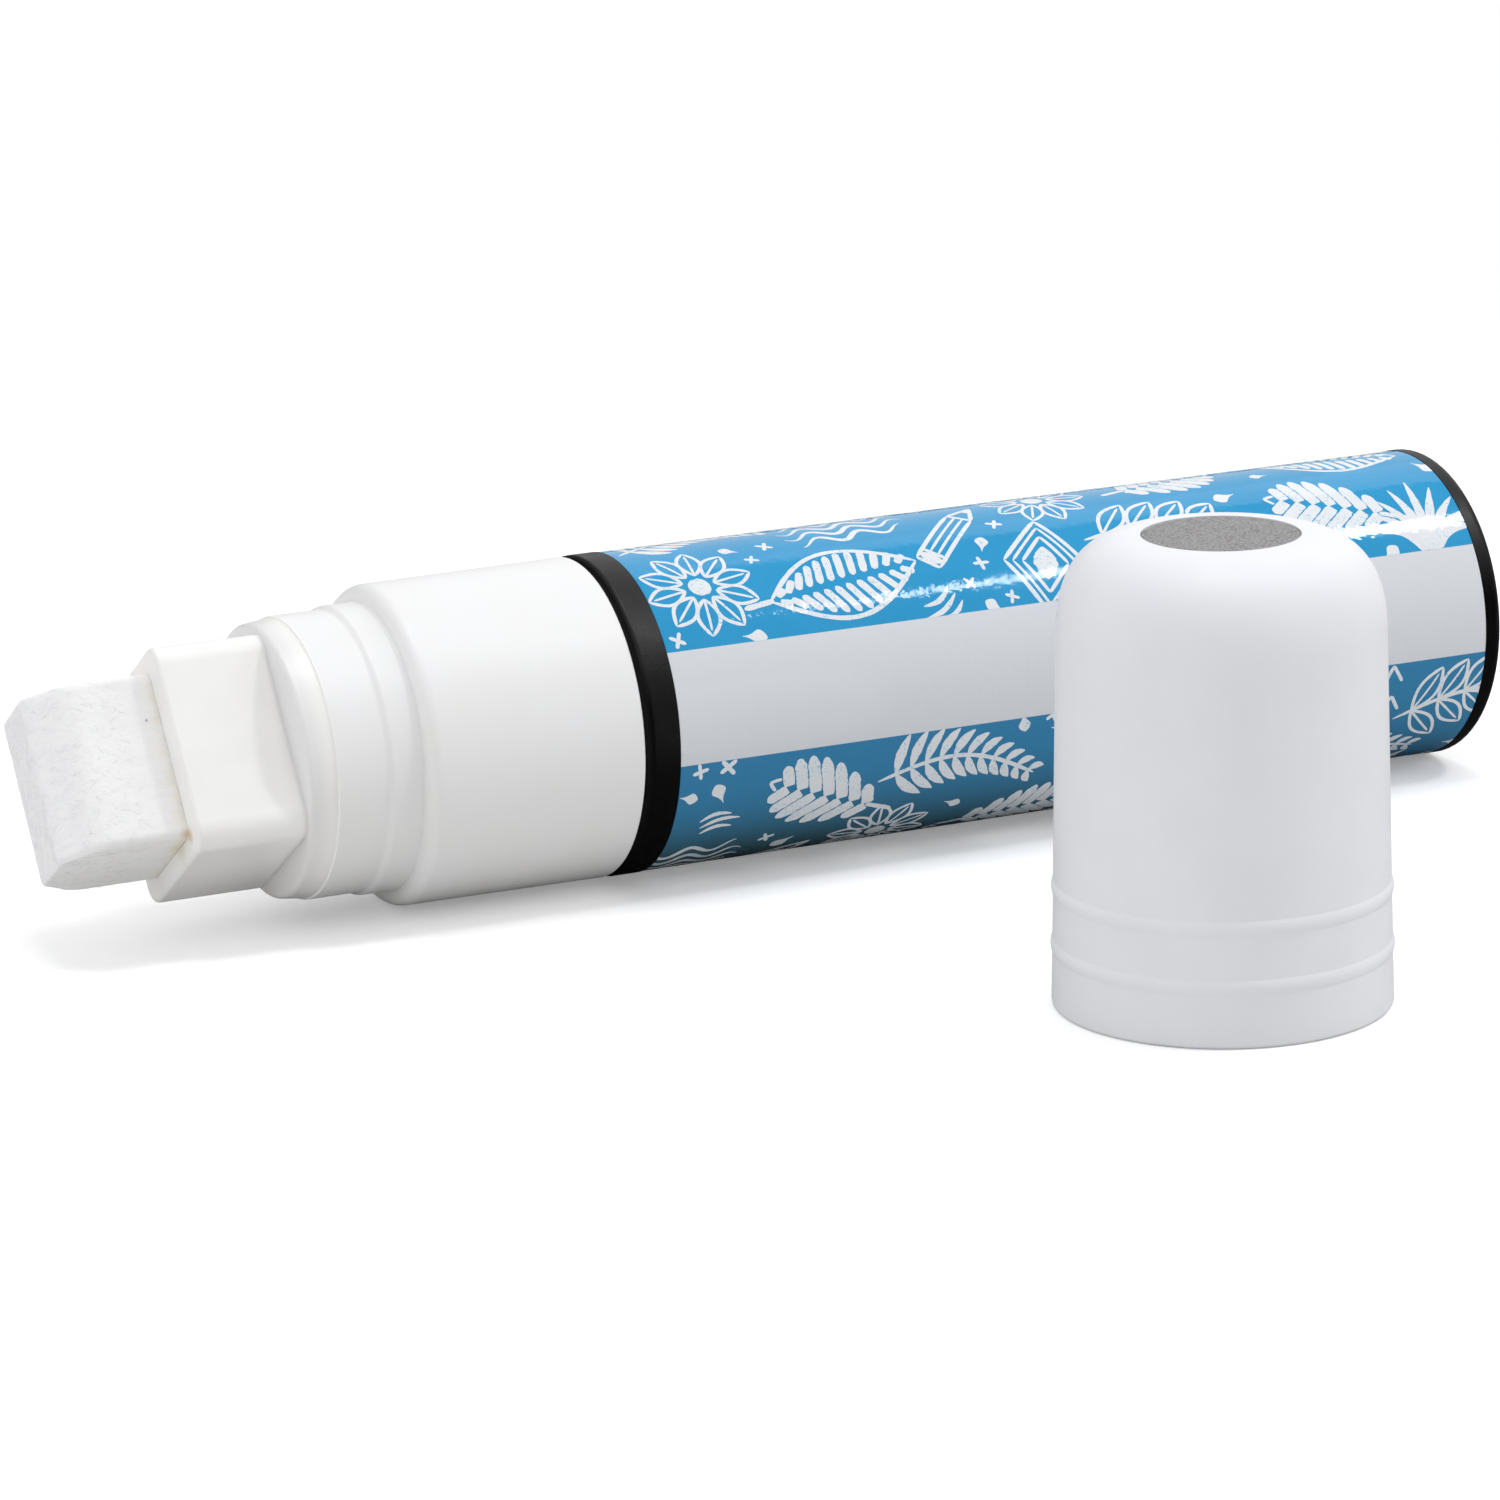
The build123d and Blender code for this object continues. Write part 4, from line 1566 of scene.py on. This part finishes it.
TILE = (
    Placing(Motif.DAISY, 5.4, 6.4, 0.2, 0.88),
    Placing(Motif.FEATHER, 19.0, 4.9, 0.16, 0.92),
    Placing(Motif.PENCIL, 31.6, 9.6, 0.8, 0.9),
    Placing(Motif.KITE, 39.0, 4.0, 1.35, 0.85),
    Placing(Motif.SPRIG, 53.5, 5.6, -0.12, 0.92),
    Placing(Motif.BROAD_LEAF, 69.0, 6.4, 2.8, 0.85),
    Placing(Motif.TUFT, 78.3, 3.0, 1.5, 0.82),
    Placing(Motif.FERN, 8.0, 15.8, 0.15, 0.9),
    Placing(Motif.WAVES, 22.5, 13.6, 0.1, 0.8),
    Placing(Motif.DAISY, 42.5, 14.2, 0.5, 0.82),
    Placing(Motif.BROAD_LEAF, 57.0, 15.0, 0.25, 0.8),
    Placing(Motif.FEATHER, 74.0, 15.2, -0.2, 0.85),
    Placing(Motif.ZIGZAG, 6.0, 24.0, 0.05, 0.72),
    Placing(Motif.SPRIG, 20.5, 22.3, 0.1, 0.85),
    Placing(Motif.BROAD_LEAF, 34.6, 21.8, 2.75, 0.85),
    Placing(Motif.FERN, 48.5, 22.8, -0.1, 0.95),
    Placing(Motif.BUNTING, 65.0, 23.6, 0.05, 0.75),
    Placing(Motif.KITE, 77.6, 22.6, 0.5, 0.68),
)
FILLERS = (Motif.WISP, Motif.DROP, Motif.CROSS)
PLACE_READINGS = {"figure": "INT", "turn": "FLOAT", "size": "FLOAT"}


@dataclass
class PrintedLabel:
    """Film wrapped round the barrel, with a generic chalk drawing printed in white on its blue ground."""

    axis: Axis
    film_look: FilmPrint
    film: float = 0.05 * MM
    lap: float = math.radians(14.0)
    lap_ramp: float = math.radians(2.5)
    seam: float = math.radians(205.0)
    columns: int = 360
    ink: float = 0.012 * MM
    weld: float = 0.0005 * MM
    strip: float = 0.8
    tiles: int = 3
    tile_shift: float = 31.0
    gap: float = 0.6
    filler_tries: int = 6000
    filler_sizes: Limits = (0.75, 1.1)
    roughness: float = 0.08
    seed: int = 5

    def __post_init__(self) -> None:
        """Reads the film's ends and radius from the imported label, and works out where its ground lies."""
        low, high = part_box("label")
        self.start, self.end = low.x, high.x
        self.radius = (high.z - low.z) / 2
        self.ground_start = self.film_look.band_high * self.radius
        self.ground_end = (2 * math.pi + self.film_look.band_low) * self.radius
        self.random = random.Random(self.seed)

    def build(self) -> None:
        """Makes the film and its print."""
        film = self.wrapped_film()
        film.data.materials.append(self.film_look.material())
        settle(film, Body.MARKER, Slot.FILM, "label")
        settle(self.drawing(ChalkInk().material()), Body.MARKER, Slot.FILM)

    def wrap(self, x: float, turn: float, radius: float) -> Vector:
        """Point at a turn up from the near side and a distance from the axis."""
        return Vector((x, self.axis.y - radius * math.cos(turn), self.axis.z + radius * math.sin(turn)))

    def wrapped_film(self) -> bpy.types.Object:
        """Winds the film once round the barrel, with its end lapped over its start.

        Returns:
            The film.
        """
        sweep = 2 * math.pi + self.lap
        points: list[Vector] = []
        for step in range(self.columns + 1):
            turn = self.seam + sweep * step / self.columns
            over = (turn - self.seam - 2 * math.pi + self.lap_ramp) / self.lap_ramp
            outer = self.radius + self.film * max(0.0, min(1.0, over))
            inner = outer - self.film
            section = ((self.start, outer), (self.end, outer), (self.end, inner), (self.start, inner))
            points += [self.wrap(x, turn, radius) for x, radius in section]
        mesh = closed_mesh("label_film", points, tube_faces(0, self.columns + 1, len(section)))
        shade_by_angle(mesh)
        return place_mesh("label_film", mesh)

    def figures(self) -> list[Placing]:
        """Repeats the tile round the film and strews small figures in its gaps.

        Returns:
            Where each figure lies, in millimetres along the film and round from the near side.
        """
        low, high = self.ground_start / MM, self.ground_end / MM
        left, right = self.start / MM, self.end / MM
        placed: list[Placing] = []
        for number in range(self.tiles):
            rise = low + (high - low) * number / self.tiles
            for figure in TILE:
                x = left + (figure.x + self.tile_shift * number) % (right - left)
                placed.append(Placing(figure.motif, x, rise + figure.y, figure.turn, figure.size))
        taken = [circle for figure in placed for circle in figure.circles()]
        for number in range(self.filler_tries):
            trial = Placing(
                FILLERS[number % len(FILLERS)],
                self.random.uniform(left, right),
                self.random.uniform(low, high),
                self.random.uniform(0, 2 * math.pi),
                self.random.uniform(*self.filler_sizes),
            )
            if self.fits(trial, taken):
                taken += trial.circles()
                placed.append(trial)
        return placed

    def fits(self, trial: Placing, taken: list[Triple]) -> bool:
        """Tells whether a figure is clear of what is on the film already.

        Args:
            trial: The figure.
            taken: Circles that are filled already.

        Returns:
            Whether it is clear.
        """
        return all(
            math.hypot(x - other_x, y - other_y) > radius + other_radius + self.gap
            for x, y, radius in trial.circles()
            for other_x, other_y, other_radius in taken
        )

    def ribbon(self, stroke: Stroke, ring: Sequence[Place]) -> Iterator[Vector]:
        """Points of one stroke's ink.

        Args:
            stroke: The stroke.
            ring: The ribbon's section, as shares of its half width with their heights.

        Returns:
            The points, ring after ring, with edges that are a little uneven.
        """
        last = len(stroke.line) - 1
        for i, (x, y) in enumerate(stroke.line):
            before, after = stroke.line[max(0, i - 1)], stroke.line[min(last, i + 1)]
            run = Vector((after[0] - before[0], after[1] - before[1]))
            side = Vector((-run.y, run.x)).normalized()
            half = stroke.widths[i] / 2 * (1 + self.random.uniform(-self.roughness, self.roughness))
            for share, height in ring:
                reach = half * share
                yield Vector(((x + side.x * reach) * MM, (y + side.y * reach) * MM, height))

    def stroke_mesh(self, motif: Motif) -> bpy.types.Mesh:
        """Draws a figure as thin closed ribbons of ink, cut narrow enough to bend round the film.

        Args:
            motif: The figure.

        Returns:
            Its mesh, flat on the film.
        """
        points: list[Vector] = []
        faces: list[list[int]] = []
        for stroke in motif.drawing():
            strips = math.ceil(max(stroke.widths) / self.strip)
            shares = [2 * strip / strips - 1 for strip in range(strips + 1)]
            ring = [(share, self.ink) for share in shares] + [(share, 0.0) for share in reversed(shares)]
            faces += tube_faces(len(points), len(stroke.line), len(ring))
            points += self.ribbon(stroke, ring)
        return closed_mesh("figure_" + motif.name.lower(), points, faces)

    def figure_library(self) -> bpy.types.Collection:
        """Draws each figure once.

        Returns:
            A collection of the figures, named so that they stay in order.
        """
        library = bpy.data.collections.new("print_figures")
        for number, motif in enumerate(Motif):
            name = f"figure_{number:02d}_{motif.name.lower()}"
            library.objects.link(bpy.data.objects.new(name, self.stroke_mesh(motif)))
        return library

    def figure_places(self, figures: Sequence[Placing]) -> bpy.types.Object:
        """Makes one point for each figure.

        Args:
            figures: Where the figures lie.

        Returns:
            The points, with the figure's number, turn and size on each.
        """
        order = list(Motif)
        readings = {
            "figure": [order.index(figure.motif) for figure in figures],
            "turn": [figure.turn for figure in figures],
            "size": [figure.size for figure in figures],
        }
        mesh = bpy.data.meshes.new("print_places")
        mesh.from_pydata([(figure.x * MM, figure.y * MM, 0.0) for figure in figures], [], [])
        for name, kind in PLACE_READINGS.items():
            mesh.attributes.new(name, kind, "POINT").data.foreach_set("value", readings[name])
        return place_mesh("print_places", mesh)

    def drawing(self, look: bpy.types.Material) -> bpy.types.Object:
        """Prints the figures: lays them out flat, crops them and wraps them round the film.

        Args:
            look: Material of the ink.

        Returns:
            The print as one mesh.
        """
        places = self.figure_places(self.figures())
        library = self.figure_library()
        rule = GeometryRule("print_round_film")
        radius = rule.given("Film Radius", self.radius)
        low = rule.given("Ground Start", self.ground_start)
        high = rule.given("Ground End", self.ground_end)
        figures = {0: rule.given("Figures", library, "NodeSocketCollection")}
        figures |= {"Separate Children": True, "Reset Children": True}
        number, spin, size = (
            rule.node("GeometryNodeInputNamedAttribute", {"data_type": kind}, {"Name": name})
            for name, kind in PLACE_READINGS.items()
        )
        strewn = rule.node(
            "GeometryNodeInstanceOnPoints",
            inputs={
                0: rule.carrier(),
                "Instance": rule.node("GeometryNodeCollectionInfo", inputs=figures),
                "Pick Instance": True,
                "Instance Index": number,
                "Rotation": rule.node("FunctionNodeAxisAngleToRotation", inputs={"Angle": spin}),
                "Scale": rule.joined(size, size, 1.0),
            },
        )
        flat = rule.node("GeometryNodeRealizeInstances", inputs={0: strewn})
        x, y, z = rule.position().parts()
        turn = y.most(low).least(high) / radius
        reach = radius + z
        round_place = rule.joined(
            x.most(self.start).least(self.end),
            self.axis.y - reach * turn.math("COSINE"),
            self.axis.z + reach * turn.math("SINE"),
        )
        wrapped = rule.node("GeometryNodeSetPosition", inputs={0: flat, "Position": round_place})
        merged = rule.node("GeometryNodeMergeByDistance", inputs={0: wrapped, "Distance": self.weld})
        piece = rule.turn_into("label_print", places, merged, look)
        for figure in list(library.objects):
            bpy.data.objects.remove(figure)
        bpy.data.collections.remove(library)
        return piece


@dataclass
class FrontEnd:
    """Grip section and nib holder, in white plastic with a trace of dried ink at the nib's root, painted
    light and shade about the seam between them and a painted glow under the holder.
    """

    nib: FeltNib
    white: Colour = paint(238, 238, 239)
    warm: Colour = paint(237, 237, 236)
    grip_roughness: float = 0.42
    # Painted light: the grip's front edge at the seam is lighter, hiding the shade of the small step there.
    edge: Colour = paint(248, 248, 246)
    seam_light_fade: Limits = (0.2 * MM, 0.1 * MM)
    milky: Colour = paint(246, 245, 244)
    # Drift colour of the holder, also laid as painted light at the collar's seam end.
    milky_drift_and_rim_light: Colour = paint(242, 241, 240)
    holder_roughness: float = 0.36
    # Painted shade: the collar is a little darker, to tone down the light on its top.
    collar: Colour = paint(233, 232, 232)
    collar_thickness: float = 2.45 * MM
    collar_shade_fade: Limits = (0.5 * MM, 0.1 * MM)
    # Painted light: the collar is lighter again near its seam with the grip, against the shade in that
    # corner.
    rim_light_fade: Limits = (0.5 * MM, 0.4 * MM)
    # Painted glow: a light spot under the holder, standing in for light that comes through the plastic.
    lit_through: Colour = paint(254, 254, 253)
    lit_back: float = 5.0 * MM
    lit_below: float = 4.0 * MM
    lit_radius: float = 13.0 * MM
    dried_ink: Colour = paint(205, 172, 116)
    dried_lift: float = 0.1 * MM
    dried_radius: float = 1.0 * MM
    dried_strength: float = 0.7
    soaked: Colour = paint(226, 219, 190)
    soaked_depth: float = 3.0 * MM
    soaked_radius: float = 2.2 * MM
    soaked_strength: float = 0.6
    speck: Colour = paint(150, 150, 148)
    speck_ahead: float = 1.3 * MM
    speck_across: float = 3.2 * MM
    speck_radius: float = 0.22 * MM
    speck_strength: float = 0.9

    def ink_traces(self) -> tuple[SoftSpot, ...]:
        """Dried ink in the corner between the nib and its holder.

        Returns:
            The two stains that both pieces carry.
        """
        front = self.nib.holder_front
        edge = -self.nib.width / 2
        face = self.nib.thickness / 2
        corner = self.nib.spot(front + self.dried_lift, edge, face)
        below = self.nib.spot(front, edge, face - self.soaked_depth)
        return (
            SoftSpot(corner, self.dried_radius, self.dried_ink, self.dried_strength),
            SoftSpot(below, self.soaked_radius, self.soaked, self.soaked_strength),
        )

    def felt_marks(self) -> tuple[SoftSpot, ...]:
        """Marks on the felt.

        Returns:
            The ink traces, and a speck of dirt on the near face.
        """
        ahead = self.nib.holder_front + self.speck_ahead
        place = self.nib.spot(ahead, self.speck_across, self.nib.thickness / 2)
        return (*self.ink_traces(), SoftSpot(place, self.speck_radius, self.speck, self.speck_strength))

    def build(self) -> None:
        """Dresses the two mouldings."""
        axis = self.nib.axis
        seam = axis.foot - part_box("grip_section")[0].x
        # Painted light on the grip's front edge at the seam.
        neck = EndTone(axis, *(seam - back for back in self.seam_light_fade), self.edge)
        grip = MouldedPlastic(
            "white_grip_plastic", self.white, self.warm, self.grip_roughness, tints=(neck,)
        )
        # Painted glow on the holder's underside.
        underside = self.nib.spot(
            self.nib.holder_front - self.lit_back, -self.nib.width / 2 - self.lit_below, 0.0
        )
        lit = SoftSpot(underside, self.lit_radius, self.lit_through, 1.0)
        collar_front = seam + self.collar_thickness
        # Painted shade over the collar, dimming the light on it.
        collar = EndTone(axis, *(collar_front + ahead for ahead in self.collar_shade_fade), self.collar)
        rim_start, rim_end = self.rim_light_fade
        # Painted light at the collar's seam end, against the shade in the corner.
        rim = EndTone(axis, collar_front - rim_start, seam + rim_end, self.milky_drift_and_rim_light)
        tints = (lit, collar, rim, *self.ink_traces())
        holder = MouldedPlastic(
            "white_holder_plastic", self.milky, self.milky_drift_and_rim_light, self.holder_roughness, tints=tints
        )
        dress("grip_section", grip.material())
        dress("nib_holder", holder.material())


@dataclass
class PumpValve:
    """Inner pieces of the pump and the ball that stirs the ink."""

    nib: FeltNib
    wire: float = 0.7 * MM
    turns: int = 6
    turn_points: int = 48
    wire_points: int = 16
    natural: Colour = paint(226, 224, 216)
    natural_drift: Colour = paint(216, 213, 202)
    natural_roughness: float = 0.42
    rubber: Colour = paint(52, 53, 56)
    rubber_drift: Colour = paint(66, 67, 70)
    rubber_roughness: float = 0.7
    rubber_grain: float = 0.004 * MM
    ball_roughness: float = 0.16

    def build(self) -> None:
        """Dresses the inner pieces."""
        natural = MouldedPlastic(
            "natural_valve_plastic", self.natural, self.natural_drift, self.natural_roughness
        ).material()
        rubber = MouldedPlastic(
            "dark_seal_rubber",
            self.rubber,
            self.rubber_drift,
            self.rubber_roughness,
            grain_depth=self.rubber_grain,
        ).material()
        for node in ("valve_plunger", "valve_body", "spring_retainer"):
            dress(node, natural)
        for node in ("valve_gasket", "barrel_seal"):
            dress(node, rubber)
        dress("mixing_ball", BareSteel("polished_ball_steel", roughness=self.ball_roughness).material())
        self.spring(BareSteel("drawn_spring_steel").material())

    def spring(self, look: bpy.types.Material) -> None:
        """Winds the return spring.

        Args:
            look: Material of its wire.
        """
        low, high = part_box("valve_spring")
        axis, across, face = self.nib.axis, self.nib.across, self.nib.face
        rule = GeometryRule("spring_winding")
        coil = rule.given("Coil Radius", (high.z - low.z - self.wire) / 2)
        winding = {
            "Resolution": self.turn_points,
            "Rotations": rule.given("Turns", float(self.turns)),
            "Start Radius": coil,
            "End Radius": coil,
            "Height": rule.given("Rise", high.x - low.x - self.wire),
        }
        helix = rule.node("GeometryNodeCurveSpiral", inputs=winding)
        x, y, z = rule.position().parts()
        place = rule.joined(
            high.x - self.wire / 2 - z,
            axis.y + x * across.y + y * face.y,
            axis.z + x * across.z + y * face.z,
        )
        wound = rule.node("GeometryNodeSetPosition", inputs={0: helix, "Position": place})
        tube = rule.tube(wound, rule.given("Wire Radius", self.wire / 2), self.wire_points)
        carrier = place_mesh("spring_carrier", bpy.data.meshes.new("spring_carrier"))
        piece = rule.turn_into("spring_wire", carrier, tube, look)
        shade_by_angle(piece.data)
        settle(piece, Body.MARKER, Slot.SPRING, "valve_spring")
        kept = 1 - travel(NIB_PRESS) / (high.x - low.x)
        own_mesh(piece)


@dataclass
class Cap:
    """Cap with its seal and the grey disc in its top."""

    white: Colour = paint(236, 237, 241)
    cool: Colour = paint(234, 235, 240)
    roughness: float = 0.52
    grain: float = 0.2 * MM
    grain_depth: float = 0.003 * MM
    seal: Colour = paint(214, 213, 208)
    seal_drift: Colour = paint(204, 203, 197)
    seal_roughness: float = 0.6

    def build(self) -> None:
        """Dresses the cap."""
        shell = MouldedPlastic(
            "satin_cap_plastic",
            self.white,
            self.cool,
            self.roughness,
            grain=self.grain,
            grain_depth=self.grain_depth,
        )
        soft = MouldedPlastic("soft_cap_seal", self.seal, self.seal_drift, self.seal_roughness)
        dress("cap_shell", shell.material())
        dress("cap_seal", soft.material())
        dress("cap_plug", SpeckledDisc().material())


@dataclass(frozen=True)
class Softbox:
    """A soft lamp over the table."""

    name: str
    place: Triple
    width: float
    depth: float
    power: float
    mirrored: bool = False

    def hang(self, aim: Vector) -> None:
        """Hangs the lamp so that it faces a point.

        Args:
            aim: The point.
        """
        light = bpy.data.lights.new(self.name, "AREA")
        light.shape = "RECTANGLE"
        light.size, light.size_y = self.width, self.depth
        light.energy = self.power
        lamp = bpy.data.objects.new(self.name, light)
        lamp.location = self.place
        lamp.rotation_euler = (aim - lamp.location).to_track_quat("-Z", "Y").to_euler()
        lamp.visible_glossy = self.mirrored
        bpy.context.scene.collection.objects.link(lamp)


@dataclass
class Studio:
    """Pale floor, soft light and the camera at the photograph's angle."""

    lamps: tuple[Softbox, ...] = (
        Softbox("key", (0.50, -0.19, 0.77), 0.09, 0.09, 1.25, mirrored=True),
        Softbox("strip", (0.41, -0.19, 0.77), 0.09, 0.05, 0.25, mirrored=True),
        Softbox("top", (0.0, 0.0, 1.1), 0.42, 0.42, 3.1, mirrored=True),
        Softbox("left", (-0.95, -0.06, 0.18), 0.6, 0.32, 1.35),
        Softbox("right", (1.0, -0.35, 0.5), 0.6, 0.5, 1.9),
        Softbox("back", (0.75, 0.9, 0.62), 1.1, 1.2, 2.9, mirrored=True),
        Softbox("sheen", (0.85, 0.75, 0.9), 0.5, 0.6, 0.25, mirrored=True),
    )
    aim: Vector = field(default_factory=lambda: Vector((0.0, 0.0, 0.015)))
    camera_place: Vector = field(default_factory=lambda: Vector((-0.235185, -0.468687, 0.154751)))
    yaw: float = math.radians(25.0991)
    pitch: float = math.radians(14.7812)
    tilt: float = math.radians(1.3448)
    sensor: float = 36.0
    lens: float = 150.93
    clip: Limits = (0.01, 20.0)
    floor_half: float = 2.5
    floor_paint: Colour = paint(244, 244, 245)
    floor_bounce: Colour = paint(218, 217, 215)
    # Painted shade: a dim floor colour that only mirrors see, on the near side of the object.
    mirrored_floor_shade: Colour = paint(85, 84, 83)
    floor_dim_from: Limits = (0.10, 0.03)
    floor_lift: float = 0.25
    shadow_reach: float = 0.15
    sky: Colour = (0.985, 0.992, 1.0, 1.0)
    sky_strength: float = 0.66
    sky_mirrored: float = 0.06

    def build(self) -> None:
        """Sets up the floor, the lights and the camera."""
        view = bpy.context.scene.view_settings
        view.view_transform = "Standard"
        self.floor()
        self.world()
        for lamp in self.lamps:
            lamp.hang(self.aim)
        self.camera()

    def floor(self) -> None:
        """Lays the floor, white to the camera apart from the object's shadow, and dim in mirrors near it."""
        half = self.floor_half
        mesh = bpy.data.meshes.new("floor")
        corners = [(-half, -half, 0.0), (half, -half, 0.0), (half, half, 0.0), (-half, half, 0.0)]
        mesh.from_pydata(corners, [], [(0, 1, 2, 3)])
        floor = place_mesh("floor", mesh)
        recipe = Recipe("pale_floor")
        camera_ray = recipe.node("ShaderNodeLightPath", output="Is Camera Ray")
        x, y, _ = recipe.place().parts()
        # Painted shade in reflections: glossy rays see the floor dim on the near side of the marker.
        dimmed = camera_ray.other("Is Glossy Ray") * y.step(*self.floor_dim_from)
        away = x.reach(y).step(self.shadow_reach, self.shadow_reach * 2)
        bounce, dim, matt = (
            recipe.node("ShaderNodeBsdfDiffuse", inputs={"Color": colour})
            for colour in (self.floor_bounce, self.mirrored_floor_shade, self.floor_paint)
        )
        white, lift = (
            recipe.node("ShaderNodeEmission", inputs={"Color": PURE_WHITE, "Strength": strength})
            for strength in (1.0, self.floor_lift)
        )
        near = recipe.node("ShaderNodeAddShader", inputs={0: matt, 1: lift})
        clear = recipe.blend(away, near, white)
        shown = recipe.blend(camera_ray, recipe.blend(dimmed, bounce, dim), clear)
        recipe.node("ShaderNodeOutputMaterial", inputs={"Surface": shown})
        mesh.materials.append(recipe.material)
        floor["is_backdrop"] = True

    def world(self) -> None:
        """Lights the scene with an even sky, dim in mirrors and white to the camera."""
        world = bpy.data.worlds.new("studio")
        world.use_nodes = True
        bpy.context.scene.world = world
        graph = Graph(world.node_tree)
        graph.tree.nodes.clear()
        white, sky, dim = (
            graph.node("ShaderNodeBackground", inputs={"Color": colour, "Strength": strength})
            for colour, strength in (
                (PURE_WHITE, 1.0),
                (self.sky, self.sky_strength),
                (self.sky, self.sky_mirrored),
            )
        )
        camera_ray = graph.node("ShaderNodeLightPath", output="Is Camera Ray")
        around = graph.blend(camera_ray.other("Is Glossy Ray"), sky, dim)
        shown = graph.blend(camera_ray, around, white)
        graph.node("ShaderNodeOutputWorld", inputs={"Surface": shown})

    def camera(self) -> None:
        """Sets the camera where the photograph was taken from."""
        data = bpy.data.cameras.new("camera")
        data.sensor_width = self.sensor
        data.lens = self.lens
        data.clip_start, data.clip_end = self.clip
        flat = math.cos(self.pitch)
        ahead = Vector((math.sin(self.yaw) * flat, math.cos(self.yaw) * flat, -math.sin(self.pitch)))
        level = Vector((math.cos(self.yaw), -math.sin(self.yaw), 0.0))
        down = ahead.cross(level)
        right = level * math.cos(self.tilt) + down * math.sin(self.tilt)
        up = level * math.sin(self.tilt) - down * math.cos(self.tilt)
        turn = Matrix((right, up, -ahead)).transposed()
        camera = bpy.data.objects.new("camera", data)
        camera.matrix_world = Matrix.Translation(self.camera_place) @ turn.to_4x4()
        bpy.context.scene.collection.objects.link(camera)
        bpy.context.scene.camera = camera


def write_sizes() -> None:
    """Gathers the CAD box and the visual model's box, each as its lowest and highest corner, and keeps
    neither.
    """
    boxes = {"cad": cad_box, "visual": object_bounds()}
    {name: [list(corner) for corner in box] for name, box in boxes.items()}


def main() -> None:
    """Builds the marker, the cap and the studio round them."""
    logging.basicConfig(level=logging.INFO, format="%(name)s: %(message)s")
    axis = Axis.of_barrel()
    nib = FeltNib(axis)
    front = FrontEnd(nib)
    nib.build(PressedFelt(axis, nib.holder_front, nib.tip, front.felt_marks()).material())
    front.build()
    PrintedLabel(axis, FilmPrint(axis)).build()
    low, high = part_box("barrel")
    dress("barrel", BarrelPlastic(axis, (high.z - low.z) / 2).material())
    PumpValve(nib).build()
    Cap().build()
    Studio().build()
    write_sizes()


if __name__ == "__main__":
    main()
